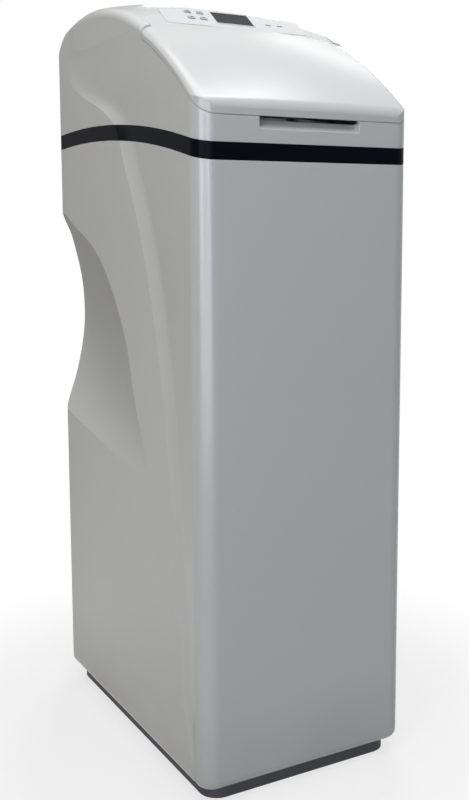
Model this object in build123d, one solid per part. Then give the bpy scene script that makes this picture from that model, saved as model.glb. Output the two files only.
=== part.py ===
from build123d import *
import os
from math import acos, cos, pi, radians, sin, sqrt, tan

# Cabinet water softener, millimetres. Origin on the floor under the middle of the cabinet,
# +Z up, the front with the salt lid faces -Y, inlet and outlet leave at the back towards +Y.

os.makedirs("parts", exist_ok=True)

# Cabinet and hood, outside
WIDTH = 320.0
DEPTH = 500.0
PLINTH_HEIGHT = 18.0
PLINTH_INSET = 14.0
PLINTH_CORNER_R = 26.0
PLINTH_WALL = 4.0
FOOT_R = 13.0
FRONT_CORNER_R = 24.0
REAR_CORNER_R = 14.0
WALL = 3.5
FLOOR = 4.0
BLOCK_TOP = 1100.0

# Soft flute along each side: crest of the flute as (height, depth along the side)
FLUTE_CREST = [(41, -210), (150, -188), (258, -180), (363, -164), (455, -150), (560, -130),
               (665, -100), (759, -62), (857, -8), (897, 20), (930, 95), (970, 185), (1100, 190)]
FLUTE_WIDTH = 50.0
FLUTE_DEPTH = 6.5
FLUTE_FADE_FROM = 885.0
FLUTE_FADE_TO = 1010.0
FLUTE_FADE_WIDEN = 1.6
FLUTE_LEAST_DEPTH = 0.25
BLOCK_LEVELS = [95, 170, 250, 330, 410, 490, 570, 650, 725, 795, 850, 895, 930, 965, 1005, 1100]

# Scoop at each rear corner: front edge of the scoop and its slope, both by height
SCOOP_EDGE = [(392, -94), (446, -72), (512, -41), (579, -19), (629, 11), (671, 45),
              (719, 106), (757, 200), (784, 268)]
SCOOP_SLOPE = [(392, -0.01), (446, 0.083), (512, 0.163), (579, 0.214), (629, 0.229),
               (671, 0.226), (719, 0.205), (784, 0.2)]
SCOOP_CURVE = 3.0e-4
SCOOP_STEPS = 15
SCOOP_AHEAD = 60.0
SCOOP_ASIDE = 70.0

# Parting line between cabinet and hood: one large arc seen from the side
PARTING_R = 1650.0
PARTING_Y = 120.0
PARTING_TOP = 875.0
BAND_HEIGHT = 22.0
BAND_LEVELS = (-75.0, -50.0, -25.0, 0.0, 25.0, 50.0)
TONGUE_WALL = 2.5
TONGUE_REACH = 11.0
TONGUE_GAP = 0.2

# Hood and lid, edge line of the top seen from the side
STEP_Y = -86.0
LID_FRONT_EDGE_Z = 899.0
LID_REAR_EDGE_Z = 1009.5
LID_BULGE = 8.0
NOSE_R = 8.0
LID_STATIONS = (-236.0, -226.0, -210.0, -188.0, -160.0, -125.0, -78.0)
ROUND_STEPS = 6
ROUND_AHEAD = 0.05
HOOD_APEX_Y = 110.0
HOOD_APEX_Z = 1061.0
HOOD_ARC_R = 415.0
HOOD_REAR_R = 45.0
HOOD_STATIONS = (-98.0, -72.0, -46.0, -20.0, 6.0, 32.0, 60.0, 90.0, 120.0, 150.0, 178.0)
SHOULDER_R = 14.0
SHOULDER_SPILL = 0.4
CROWN_FRONT = 0.8
CROWN_STEP = 7.5
CROWN_REAR = 12.5
CROWN_FULL_Y = 30.0

# Salt lid
LID_SKIN = 3.0
LID_ZONE_BOTTOM = 800.0
LID_SLANT = 0.2
LID_GAP = 1.0
SEAM_DROP = 12.0
LID_RIB = 2.5
LID_RIB_INSET = 8.0
LID_RIB_CORNER_R = 14.0
LID_RIB_CLEAR = 7.8
LID_RIB_GAP = 0.3
LEDGE_DROP = 2.5
LEDGE_THICK = 3.5
MOUTH_HALF_WIDTH = 142.0
MOUTH_FRONT_Y = -222.0
MOUTH_REAR_Y = -112.0
MOUTH_CORNER_R = 12.0
SEAL_WIDTH = 5.0
SEAL_GAP = 0.3

# Lid hinge
HINGE_BEHIND = 6.0
HINGE_BELOW = 13.2
HINGE_X = 40.0
PIN_R = 2.5
PIN_RUN = 0.06
KNUCKLE_R = 5.5
KNUCKLE_WIDTH = 14.0
EAR_R = 4.2
EAR_WIDTH = 4.0
EAR_GAP = 0.4

# Finger recess in the front wall of the hood
RECESS_WIDTH = 150.0
RECESS_DEPTH = 16.0
RECESS_LIP = 15.0
RECESS_FLOOR_RUN = 12.0
RECESS_WALL = 3.0
RECESS_UP = 9.0

# Console behind the lid
RIM_WIDTH = 14.0
CONSOLE_FOOT_Y = -77.0
CONSOLE_SLOPE = 36.87
CONSOLE_Y = -40.5
CONSOLE_Z = 1042.7
NOTCH_REAR_Y = 20.0
DIVIDER_BOTTOM = 905.0
FASCIA_HALF_WIDTH = 112.0
FASCIA_LOW = -27.0
FASCIA_SIDE_HIGH = 8.5
FASCIA_MID_HIGH = 20.5
FASCIA_THICK = 1.8
FASCIA_PROUD = 0.4
FASCIA_CORNER_R = 5.0
FASCIA_RUN = 0.2
DISPLAY_WIDTH = 60.0
DISPLAY_HEIGHT = 31.0
DISPLAY_THICK = 1.6
DISPLAY_LEDGE = 2.0
MODULE_THICK = 6.0
BUTTON_X = (-67.0, -48.0)
BUTTON_ROWS = (9.5, -7.0)
BUTTON_WIDTH = 11.0
BUTTON_HEIGHT = 7.0
BUTTON_RUN = 0.25
BUTTON_PROUD = 1.4
BUTTON_TRAVEL = 1.0
BUTTON_FLANGE = 1.2
BUTTON_SLOT_TRIM = 1.5
LIGHT_X = (56.0, 75.0)
LIGHT_ROW = -7.0
LIGHT_WIDTH = 9.0
LIGHT_HEIGHT = 4.0
BOARD_DEPTH = 17.0
BOARD_THICK = 1.6
BOARD_WIDTH = 190.0
BOARD_HEIGHT = 40.0
BOSS_R = 3.5
BOSS_INSET_X = 7.0
BOSS_INSET_V = 6.0
BUTTON_FLANGE_LAP = 1.4
BUTTON_STEM_R = 2.0
BUTTON_ROUND = 0.8
SWITCH_SIZE = 6.0
SWITCH_DEPTH = 7.0
PLUNGER_R = 1.5
PLUNGER_HEIGHT = 1.0
MODULE_MARGIN = 2.0
PIN_STRIP = 2.0
LAMP_WIDTH = 5.0
LAMP_HEIGHT = 3.0
CHIP_SIZE = 18.0
CHIP_THICK = 2.2
SOCKET_WIDTH = 18.0
SOCKET_HEIGHT = 8.0
SOCKET_DEPTH = 7.0
LEAD_X = 60.0
LEAD_ASIDE = 8.0
LEAD_AHEAD = 34.0
LEAD_SAG = 9.0
LEAD_STRAIGHT = 16.0
LEAD_R = 2.6
SCREW_R = 1.5
SCREW_HEAD_R = 2.8
SCREW_HEAD = 1.8
SCREW_SLOT = 0.8
SCREW_RUN = 0.1

# Pressure tank
TANK_Y = 112.0
TANK_R = 114.0
TANK_WALL = 4.0
TANK_LIFT = 18.0
TANK_HEIGHT = 885.0
TANK_DOME = 62.0
TANK_FLAT_R = 25.0
TANK_SHOULDER = 70.0
NECK_R = 45.0
NECK_HEIGHT = 24.0
BOOT_WALL = 5.0
BOOT_HEIGHT = 80.0
RESIN_TOP = 590.0
GRAVEL_TOP = 150.0
RISER_R = 13.35
RISER_BORE = 10.0
STRAINER_R = 26.5
STRAINER_HEIGHT = 70.0
STRAINER_WALL = 4.0
STRAINER_SLOTS = 6
STRAINER_PITCH = 9.0
STRAINER_TURNS = (0.0, 60.0, 120.0)
SLOT_HEIGHT = 2.0
SLOT_WIDTH = 6.0
CONE_HEIGHT = 64.0
CONE_TOP_R = 36.0
CONE_WALL = 3.0
CONE_RING = 12.0
PACK_GAP = 0.5

# Control valve on the tank neck
VALVE_COLLAR_R = 53.0
VALVE_HALF_X = 62.0
VALVE_HALF_Y = 50.0
VALVE_BASE_HEIGHT = 18.0
VALVE_BLOCK_HEIGHT = 45.0
CHAMBER_R = 31.0
DISC_THICK = 7.0
FIXED_DISC_R = 30.9
MOVING_DISC_R = 27.0
DISC_GAP = 0.05
STEM_R = 6.0
STEM_RUN = 0.05
VALVE_CORNER_R = 10.0
COLLAR_LAP = 22.0
NECK_RUN = 0.05
RISER_SEAT = 10.0
CENTRE_PORT_R = 8.0
SIDE_PORT_X = 18.0
SIDE_PORT_R = 6.0
TANK_PORT_Y = 22.0
TANK_PORT_R = 5.0
CROSS_PORT_R = 4.5
CROSS_PORT_Y = -18.0
DRAIN_BOSS_R = 11.0
DRAIN_BOSS = 6.0
INJECTOR_R = 8.0
INJECTOR_DEPTH = 19.0
INJECTOR_BOSS_R = 14.0
INJECTOR_BOSS = 4.0
INJECTOR_KNOB_R = 13.0
INJECTOR_KNOB = 9.0
INJECTOR_FLUTES = 12
BRINE_X = -30.0
BRINE_BOSS_R = 8.0
BRINE_BOSS = 12.0
TUBE_SEAT = 10.0
BRINE_STRAIGHT = 34.0
BRINE_DIP = 8.0
BRINE_DROP = 30.0
BEND_SHARE = 0.45
ELBOW_R = 9.0
ELBOW_REACH = 12.0
PORT_X = 40.0
PORT_RISE = 20.0
PORT_R = 18.0
PORT_BORE = 10.0
PORT_FLANGE_R = 22.0
FLANGE_THICK = 4.0
PORT_LENGTH = 16.0
BYPASS_LENGTH = 44.0
CONNECTOR_LENGTH = 27.0
THREAD_R = 16.6
THREAD_LENGTH = 18.0
SEAL_RING_R = 14.0
SEAL_CORD_R = 1.3
CLIP_WALL = 3.5
CLIP_RUN = 0.2
CLIP_ARC = 230.0
CLIP_CHEEK = 2.5
CROSS_TUBE_R = 13.0
CROSS_BORE = 8.0
CONNECTOR_BORE = 12.0

# Drive on top of the valve
DRIVE_HALF_X = 66.0
DRIVE_FRONT = 66.0
DRIVE_REAR = 50.0
DRIVE_ROUND = 4.0
DECK_SCREW_INSET = 9.0
DECK_SCREW = 16.0
STEM_FLANGE_R = 14.0
STEM_FLANGE = 3.0
STEM_ABOVE = 4.0
STEM_BOSS_WALL = 4.0
GEAR_HOLES = 6
GEAR_HOLE_R = 6.0
GEAR_HOLE_AT = 17.0
DRIVE_BASE = 5.0
DRIVE_HEIGHT = 60.0
DRIVE_WALL = 2.5
GEAR_MODULE = 1.0
GEAR_PRESSURE = 20.0
GEAR_ROOT = 1.25
GEAR_TEETH = 60
PINION_TEETH = 15
GEAR_THICK = 8.0
GEAR_LIFT = 10.0
GEAR_BACKLASH = 0.09
GEAR_SPREAD = 0.12
TIP_SHORT = 0.85
MOTOR_R = 15.0
MOTOR_LIFT = 1.5
MOTOR_PLATE = 3.0
MOTOR_PLATE_WIDTH = 20.0
MOTOR_CAP_R = 9.0
SHAFT_IN_MOTOR = 11.0
TERMINAL_LENGTH = 5.0
TERMINAL_HEIGHT = 3.0
TERMINAL_BELOW = 5.0
LEAD_ENTRY_X = 34.0
LEAD_ENTRY_LIFT = 12.0
MOTOR_HEIGHT = 26.0
MOTOR_SHAFT_R = 2.5
POST_R = 4.0
POST_REACH = 24.0

# Bypass knobs and turbine
PLUG_R = 13.0
PLUG_RUN = 0.06
PLUG_WALL = 2.0
PLUG_BELOW = 16.0
PLUG_ABOVE = 22.0
PLUG_FLOOR = 3.0
KNOB_COLLAR = 4.0
KNOB_ROUND = 2.5
PLUG_BORE = 8.5
KNOB_LENGTH = 40.0
KNOB_WIDTH = 12.0
KNOB_HEIGHT = 13.0
TURBINE_R = 8.6
TURBINE_LENGTH = 9.0
TURBINE_BLADES = 6
AXLE_R = 1.0
AXLE_RUN = 0.05
AXLE_HEAD_R = 1.8
AXLE_HEAD = 1.2
TURBINE_HUB_R = 3.0
TURBINE_INSET = 4.0
BLADE_THICK = 1.0
BLADE_WIDTH = 6.8
BLADE_TWIST = 25.0
CAGE_LENGTH = 5.0
CAGE_WALL = 1.2

# Hose barbs
BARB_R = 6.5
BARB_BORE = 4.0
BARB_LENGTH = 26.0
BARB_TIP = 0.8

# Brine well, pick-up and salt grid
WELL_X = 100.0
WELL_Y = -35.0
WELL_R = 45.0
WELL_WALL = 2.5
WELL_TOP = 800.0
WELL_HOLES = 10
CAP_THICK = 3.0
CAP_SKIRT = 10.0
ROD_R = 4.75
ROD_BORE = 3.0
ROD_TOP = 842.0
CHECK_R = 16.0
CHECK_TOP = 92.0
FLOAT_R = 28.0
FLOAT_HEIGHT = 42.0
FLOAT_RUN = 0.1
SEAT_GAP = 0.3
GRID_Z = 110.0
GRID_THICK = 4.0
GRID_HOLE_R = 6.0
GRID_PITCH = 30.0
GRID_GAP = 8.0
GRID_CORNER_R = 16.0
GRID_EDGE = 18.0
LEG_R = 11.0
LEG_WALL = 2.5
LEG_INSET = 22.0
WELL_BASE = 3.0
WELL_ROWS = 3
WELL_HOLE_R = 4.0
WELL_HOLE_LOW = 20.0
WELL_HOLE_PITCH = 18.0
CAP_LAP = 2.5
CHECK_SLOTS = 4
CHECK_PITCH = 9.0
CHECK_SLOT = 3.0
FLOAT_ROUND = 6.0

# Rear of the cabinet and hood
REAR_OPENING_HALF = 102.0
REAR_OPENING_TOP = 1000.0
POCKET_X = 100.0
POCKET_WIDTH = 52.0
POCKET_BOTTOM = 797.0
POCKET_TOP = 852.0
POCKET_DEPTH = 36.0
OVERFLOW_Z = 825.0
JACK_X = -128.0
JACK_Z = 935.0
JACK_R = 6.0
JACK_LENGTH = 16.0
JACK_BORE = 3.0
JACK_NUT = 3.0
OVERFLOW_STEM_R = 9.0
OVERFLOW_FLANGE_R = 14.0
OVERFLOW_FLANGE = 4.0
OVERFLOW_NUT_R = 15.0
OVERFLOW_NUT = 7.0
GASKET = 2.0
SHELL_SCREW_X = 120.0
SHELL_SCREW_INSET = 6.0

HALF_W = WIDTH / 2
FRONT_Y = -DEPTH / 2
BACK_Y = DEPTH / 2
FLOOR_TOP = PLINTH_HEIGHT + FLOOR
REACH = 50.0
PAST = 5.0
SEAM_AHEAD = 20.0
SEAM_REAR_Y = -60.0
FAR = 400.0

# Places that follow from the sizes above
TANK_BOTTOM = FLOOR_TOP + TANK_LIFT
TANK_TOP = TANK_BOTTOM + TANK_HEIGHT
STRAINER_BOTTOM = TANK_BOTTOM + 2 * TANK_WALL
RISER_TOP = TANK_TOP + RISER_SEAT
PORT_Z = TANK_TOP + VALVE_BASE_HEIGHT + PORT_RISE
VALVE_DECK = TANK_TOP + VALVE_BASE_HEIGHT + VALVE_BLOCK_HEIGHT
VALVE_FRONT_Y = TANK_Y - VALVE_HALF_Y
CHAMBER_FLOOR = VALVE_DECK - 2 * DISC_THICK - STEM_FLANGE - 2.0
CROSS_Y = TANK_Y + CROSS_PORT_Y
DECK_TOP = VALVE_DECK + DRIVE_BASE
DRIVE_TOP = VALVE_DECK + DRIVE_HEIGHT
DRIVE_Y0 = TANK_Y - DRIVE_FRONT
DRIVE_Y1 = TANK_Y + DRIVE_REAR
GEAR_LOW = DECK_TOP + GEAR_LIFT
GEAR_TOP = GEAR_LOW + GEAR_THICK
MOTOR_Y = TANK_Y - GEAR_MODULE * (GEAR_TEETH + PINION_TEETH) / 2 - GEAR_SPREAD
MOTOR_LOW = GEAR_TOP + MOTOR_LIFT
LEAD_ENTRY_Z = MOTOR_LOW + LEAD_ENTRY_LIFT
PORT_END = TANK_Y + VALVE_HALF_Y + PORT_LENGTH
BYPASS_END = PORT_END + BYPASS_LENGTH
BYPASS_Y = (PORT_END + BYPASS_END) / 2
PLUG_LOW = PORT_Z - PLUG_BELOW
PLUG_TOP = PORT_Z + PLUG_ABOVE
TURBINE_Y = PORT_END - TURBINE_LENGTH - TURBINE_INSET
GRID_HALF = HALF_W - WALL - GRID_GAP
GRID_FRONT_Y = FRONT_Y + WALL + GRID_GAP
GRID_BACK_Y = TANK_Y - TANK_R - 2 * BOOT_WALL
BOARD_LOW = -BOARD_DEPTH
BOARD_TOP = BOARD_THICK - BOARD_DEPTH
BOSS_X = BOARD_WIDTH / 2 - BOSS_INSET_X
BOSS_V = BOARD_HEIGHT / 2 - BOSS_INSET_V
FASCIA_UNDER = FASCIA_PROUD - FASCIA_THICK
POCKET_WALL_Y = BACK_Y - POCKET_DEPTH


def save(name, *shapes):
    """Write one sub-part, which may be several solids, to its STEP file."""
    solids = [solid for shape in shapes for solid in shape.solids()]
    export_step(Compound(children=solids) if len(solids) > 1 else solids[0], f"parts/{name}.step")


def smooth(points, at):
    """Smooth curve through (position, value) points, read at one position."""
    last = len(points) - 2
    i = max(0, min(last, sum(1 for p in points[1:-1] if p[0] <= at)))

    def slope(j):
        a = points[max(j - 1, 0)]
        b = points[min(j + 1, len(points) - 1)]
        return (b[1] - a[1]) / (b[0] - a[0])

    (x0, v0), (x1, v1) = points[i], points[i + 1]
    span = x1 - x0
    t = (at - x0) / span
    rise = (2 * t**3 - 3 * t**2 + 1) * v0 + (3 * t**2 - 2 * t**3) * v1
    return rise + span * ((t**3 - 2 * t**2 + t) * slope(i) + (t**3 - t**2) * slope(i + 1))


def box(x0, x1, y0, y1, z0, z1):
    """Box between two corners."""
    size = (x1 - x0, y1 - y0, z1 - z0)
    return Pos((x0 + x1) / 2, (y0 + y1) / 2, (z0 + z1) / 2) * Box(*size)


def rod(start, direction, length, radius):
    """Cylinder from a point along a direction."""
    return extrude(Plane(start, z_dir=direction) * Circle(radius), length)


def side_prism(face_lines, half=FAR):
    """Prism along X from a closed outline drawn as curves in the YZ plane."""
    return extrude(make_face(face_lines), half, both=True, dir=(1, 0, 0))


def revolved(points, x=0.0, y=0.0, arc=360.0):
    """Solid turned about a vertical axis from (radius, height) points."""
    outline = Polyline(*[(r, 0, z) for r, z in points], close=True)
    return Pos(x, y, 0) * revolve(make_face(outline), Axis.Z, arc)


# Outer form: horizontal outlines stacked by height

def flute(z):
    """Crest position, width and depth of the side flute at one height."""
    crest = smooth(FLUTE_CREST, z)
    reach = crest - (FRONT_Y + FRONT_CORNER_R)
    share = reach / (reach + FLUTE_WIDTH)
    fade = min(1.0, max(0.0, (z - FLUTE_FADE_FROM) / (FLUTE_FADE_TO - FLUTE_FADE_FROM)))
    width = FLUTE_WIDTH * share * (1 + FLUTE_FADE_WIDEN * fade)
    depth = max(FLUTE_DEPTH * share * (1 - fade), FLUTE_LEAST_DEPTH)
    return crest, width, depth


def foot_inset(z):
    """How far the rounded lower edge draws the wall in at one height."""
    drop = FOOT_R - (z - PLINTH_HEIGHT)
    return FOOT_R - sqrt(FOOT_R**2 - drop**2) if drop > 0 else 0.0


def wall_outline(z, inset):
    """Closed horizontal outline of the walls at one height, drawn in by inset."""
    inset = inset + foot_inset(z)
    half, front, back = HALF_W - inset, FRONT_Y + inset, BACK_Y - inset
    r_front = max(FRONT_CORNER_R - inset, 1.0)
    r_rear = max(REAR_CORNER_R - inset, 1.0)
    crest, width, depth = flute(z)
    bend = 1 - cos(radians(45))
    a, b = (half - r_front, front), (half, front + r_front)
    c, d = (half - depth, crest - width), (half, crest)
    e, f = (half, back - r_rear), (half - r_rear, back)
    run = sqrt((c[0] - b[0])**2 + (c[1] - b[1])**2)
    normal = ((c[1] - b[1]) / run, -(c[0] - b[0]) / run)
    chord = (d[0] - c[0], d[1] - c[1])
    radius = (chord[0]**2 + chord[1]**2) / (2 * (chord[0] * normal[0] + chord[1] * normal[1]))
    centre = (c[0] + radius * normal[0], c[1] + radius * normal[1])
    toward = ((c[0] + d[0]) / 2 - centre[0], (c[1] + d[1]) / 2 - centre[1])
    scale = radius / sqrt(toward[0]**2 + toward[1]**2)
    sweep_mid = (centre[0] + toward[0] * scale, centre[1] + toward[1] * scale)
    right = [(a, (half - r_front * bend, front + r_front * bend), b), (b, None, c),
             (c, sweep_mid, d), (d, None, e),
             (e, (half - r_rear * bend, back - r_rear * bend), f)]

    def flip(point):
        return None if point is None else (-point[0], point[1])

    left = [(flip(end), flip(mid), flip(start)) for start, mid, end in reversed(right)]
    runs = [(flip(a), None, a)] + right + [(f, None, flip(f))] + left
    edges = []
    for start, mid, end in runs:
        if mid is None:
            edges.append(Line((*start, z), (*end, z)))
        else:
            edges.append(ThreePointArc((*start, z), (*mid, z), (*end, z)))
    return Wire(edges)


def wall_block(inset, bottom):
    """Solid inside the walls from the bottom height to well above the hood."""
    foot_top = PLINTH_HEIGHT + FOOT_R
    count = 4
    foot = []
    for i in range(count):
        turn = radians(90) * i / (count - 1)
        foot.append(bottom + (foot_top - bottom) * (1 - cos(turn)))
    lower = Solid.make_loft([wall_outline(z, inset) for z in foot])
    upper = Solid.make_loft([wall_outline(z, inset) for z in [foot_top] + BLOCK_LEVELS])
    return lower + upper


def scoop_cutter(inset):
    """What the two rear scoops take away, both sides, drawn in by inset."""
    low, high = SCOOP_EDGE[0][0], SCOOP_EDGE[-1][0]
    cutters = []
    for side in (-1, 1):
        wires = []
        for i in range(SCOOP_STEPS):
            z = low + (high - low) * i / (SCOOP_STEPS - 1)
            edge, slope = smooth(SCOOP_EDGE, z), smooth(SCOOP_SLOPE, z)

            def at(y):
                t = y - edge
                return (side * (HALF_W - inset - slope * t + SCOOP_CURVE * t**2), y, z)

            start, end = edge - SCOOP_AHEAD, BACK_Y + REACH
            outside = side * (HALF_W + SCOOP_ASIDE)
            edges = [ThreePointArc(at(start), at((start + end) / 2), at(end)),
                     Line(at(end), (outside, end, z)),
                     Line((outside, end, z), (outside, start, z)),
                     Line((outside, start, z), at(start))]
            wires.append(Wire(edges))
        cutters.append(Solid.make_loft(wires))
    return cutters[0] + cutters[1]


# Top form: cross-sections set one behind the other

def lid_edge(y):
    """Height of the side edge of the lid."""
    s = (y - FRONT_Y) / (STEP_Y - FRONT_Y)
    return LID_FRONT_EDGE_Z + s * (LID_REAR_EDGE_Z - LID_FRONT_EDGE_Z) + 4 * s * (1 - s) * LID_BULGE


def hood_edge(y):
    """Height of the side edge of the hood behind the lid."""
    return HOOD_APEX_Z - HOOD_ARC_R + sqrt(HOOD_ARC_R**2 - (y - HOOD_APEX_Y)**2)


def rounding(radius):
    """Distance from the wall and drop at even steps round a quarter circle, wall first."""
    for step in range(ROUND_STEPS + 1):
        turn = radians(90 * step / ROUND_STEPS)
        yield radius * (1 - cos(turn)), radius * (1 - sin(turn))


def crown_section(y, edge, crown, inset):
    """Cross-section with flat sides, round shoulders and a crowned top."""
    shoulder = SHOULDER_R - inset
    half = HALF_W - inset + SHOULDER_SPILL
    turn = radians(crown)
    shoulder_z = edge - SHOULDER_R * sin(radians(45))
    top_r = (half - shoulder) / sin(turn) + shoulder
    top_z = shoulder_z + shoulder * cos(turn) + top_r * (1 - cos(turn))
    centre = half - shoulder
    end = (centre + shoulder * sin(turn), shoulder_z + shoulder * cos(turn))
    half_turn = (radians(90) - turn) / 2
    mid = (centre + shoulder * cos(half_turn), shoulder_z + shoulder * sin(half_turn))
    low = PARTING_TOP - 2 * REACH
    right = [((half, low), None, (half, shoulder_z)), ((half, shoulder_z), mid, end)]
    left = [((-end[0], end[1]), (-mid[0], mid[1]), (-half, shoulder_z)),
            ((-half, shoulder_z), None, (-half, low))]
    runs = right + [(end, (0, top_z), (-end[0], end[1]))] + left + [((-half, low), None, (half, low))]
    edges = []
    for start, middle, stop in runs:
        p, q = (start[0], y, start[1]), (stop[0], y, stop[1])
        if middle is None:
            edges.append(Line(p, q))
        else:
            edges.append(ThreePointArc(p, (middle[0], y, middle[1]), q))
    return Wire(edges)


def crown_angle(y):
    """Slope of the crowned top at its shoulders, in degrees."""
    if y <= STEP_Y:
        return CROWN_FRONT + (CROWN_STEP - CROWN_FRONT) * (y - FRONT_Y) / (STEP_Y - FRONT_Y)
    share = min(1.0, (y - STEP_Y) / (CROWN_FULL_Y - STEP_Y))
    return CROWN_STEP + (CROWN_REAR - CROWN_STEP) * share


def crown_loft(stations, inset):
    """Smooth solid through cross-sections, each given by its place and edge height."""
    return Solid.make_loft([crown_section(y, edge, crown_angle(y), inset) for y, edge in stations])


def lid_crown(inset):
    """Solid under the top of the lid: a rounded nose, then the long slope."""
    sunk = inset * LID_SLANT
    front = FRONT_Y - ROUND_AHEAD
    nose = [(front + back, lid_edge(front + back) - drop - sunk) for back, drop in rounding(NOSE_R)]
    slope = [nose[-1]] + [(y, lid_edge(y) - sunk) for y in LID_STATIONS]
    return crown_loft(nose, inset) + crown_loft(slope, inset)


def hood_crown(inset):
    """Solid under the top of the hood behind the lid, with its rounded rear end."""
    rear = BACK_Y + ROUND_AHEAD
    end = [(rear - back, hood_edge(rear - back) - drop) for back, drop in rounding(HOOD_REAR_R)]
    arch = [(y, hood_edge(y)) for y in HOOD_STATIONS] + [end[-1]]
    return crown_loft(arch, inset) + crown_loft(end, inset)


def parting(y, lift=0.0):
    """Point on the parting arc, or on an arc lifted above it."""
    return (0, y, PARTING_TOP + lift - PARTING_R + sqrt(PARTING_R**2 - (y - PARTING_Y)**2))


def parting_arc(lift=0.0):
    """The parting arc from in front of the cabinet to behind it."""
    return ThreePointArc(parting(FRONT_Y - REACH, lift), parting(0, lift), parting(BACK_Y + REACH, lift))


def below_parting(lift=0.0):
    """Everything under the parting arc."""
    start, end = parting(FRONT_Y - REACH, lift), parting(BACK_Y + REACH, lift)
    low = -REACH
    return side_prism([parting_arc(lift), Line(end, (0, end[1], low)),
                       Line((0, end[1], low), (0, start[1], low)), Line((0, start[1], low), start)])


def parting_slab(low, high):
    """Everything between two arcs lifted above the parting arc."""
    a, b = parting(FRONT_Y - REACH, low), parting(BACK_Y + REACH, low)
    c, d = parting(FRONT_Y - REACH, high), parting(BACK_Y + REACH, high)
    return side_prism([parting_arc(low), Line(b, d), parting_arc(high), Line(a, c)])


def seam_point(y, lift=0.0):
    """Point on the seam under the lid."""
    return (0, y, lid_edge(y) - SEAM_DROP + lift)


def seam_region(lift, rear_y, to_z):
    """Everything between the seam curve and a level height, in front of rear_y."""
    start, end = seam_point(FRONT_Y - SEAM_AHEAD, lift), seam_point(SEAM_REAR_Y, lift)
    middle = seam_point((start[1] + end[1]) / 2, lift)
    far, near = (0, end[1], to_z), (0, start[1], to_z)
    region = side_prism([ThreePointArc(start, middle, end), Line(end, far), Line(far, near),
                         Line(near, start)])
    return region & box(-FAR, FAR, -FAR, rear_y, min(to_z, start[2]) - 1, max(to_z, end[2]) + 1)


OUTER = wall_block(0.0, PLINTH_HEIGHT)
INNER = wall_block(WALL, FLOOR_TOP)

LEDGE_REAR_TOP = seam_point(STEP_Y)[2] - LEDGE_DROP
BAND_TOP_REAR = parting(BACK_Y)[2] + BAND_HEIGHT
CONSOLE = Plane((0, CONSOLE_Y, CONSOLE_Z), x_dir=(1, 0, 0),
                z_dir=(0, -sin(radians(CONSOLE_SLOPE)), cos(radians(CONSOLE_SLOPE))))


def lid_top(y, x=0.0):
    """Height of the lid's outer surface."""
    turn = radians(crown_angle(y))
    half = HALF_W + SHOULDER_SPILL
    top_r = (half - SHOULDER_R) / sin(turn) + SHOULDER_R
    middle = lid_edge(y) - SHOULDER_R * sin(radians(45)) + SHOULDER_R * cos(turn)
    return middle + top_r * (1 - cos(turn)) - top_r + sqrt(top_r**2 - x**2)


HINGE_Y = STEP_Y - HINGE_BEHIND
HINGE_Z = lid_top(STEP_Y) - HINGE_BELOW


def console_box(x0, x1, v0, v1, n0, n1):
    """Box in the slanted frame of the console: across, up the slope, out of the slope."""
    return CONSOLE.location * box(x0, x1, v0, v1, n0, n1)


def console_rod(x, v, n, radius, length):
    """Cylinder standing on the slope from depth n, outwards."""
    return CONSOLE.location * (Pos(x, v, n + length / 2) * Cylinder(radius, length))


def console_height(y, sunk=0.0):
    """Height of the console slope, or of a face sunk under it."""
    slope = radians(CONSOLE_SLOPE)
    return CONSOLE_Z + tan(slope) * (y - CONSOLE_Y) - sunk / cos(slope)


def console_notch(grow=0.0):
    """Space above the console slope and in the hinge gutter, grown on every side."""
    foot, floor, behind = CONSOLE_FOOT_Y + grow, LEDGE_REAR_TOP - grow, NOTCH_REAR_Y
    front, high = STEP_Y - 2 * PAST, BLOCK_TOP + REACH
    points = [(0, front, floor), (0, foot, floor), (0, foot, console_height(foot, grow)),
              (0, behind, console_height(behind, grow)), (0, behind, high), (0, front, high)]
    return side_prism(Polyline(*points, close=True), HALF_W - RIM_WIDTH + grow)


def rounded_prism(x_half, y0, y1, corner, z0, z1):
    """Upright prism with rounded corners, centred across the cabinet."""
    outline = Pos(0, (y0 + y1) / 2) * RectangleRounded(2 * x_half, y1 - y0, corner)
    return Pos(0, 0, z0) * extrude(outline, z1 - z0)


def shell_screw_places():
    """Where the rear screws pass through the shells into the trim band."""
    for side in (-1, 1):
        for height in (BAND_TOP_REAR + SHELL_SCREW_INSET,
                       BAND_TOP_REAR - BAND_HEIGHT - SHELL_SCREW_INSET):
            yield side * SHELL_SCREW_X, height


def shell_screw_holes():
    """Clearance holes and head recesses of the rear screws."""
    holes = []
    for x, z in shell_screw_places():
        holes.append(rod((x, BACK_Y + 1, z), (0, -1, 0), WALL + 1 + SCREW_RUN, SCREW_R + SCREW_RUN))
        holes.append(rod((x, BACK_Y + 1, z), (0, -1, 0), SCREW_HEAD + SCREW_SLOT / 4 + 1,
                         SCREW_HEAD_R + SCREW_RUN))
    return holes


def base_plinth():
    """Recessed skirt that the cabinet stands on, with cross ribs."""
    half, front, back = HALF_W - PLINTH_INSET, FRONT_Y + PLINTH_INSET, BACK_Y - PLINTH_INSET
    skirt = rounded_prism(half, front, back, PLINTH_CORNER_R, 0, PLINTH_HEIGHT)
    skirt -= rounded_prism(half - PLINTH_WALL, front + PLINTH_WALL, back - PLINTH_WALL,
                           PLINTH_CORNER_R - PLINTH_WALL, -1, PLINTH_HEIGHT + 1)
    for y in (FRONT_Y / 2, 0, BACK_Y / 2):
        skirt += box(-half + 1, half - 1, y - PLINTH_WALL / 2, y + PLINTH_WALL / 2, 0, PLINTH_HEIGHT)
    return skirt


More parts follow.
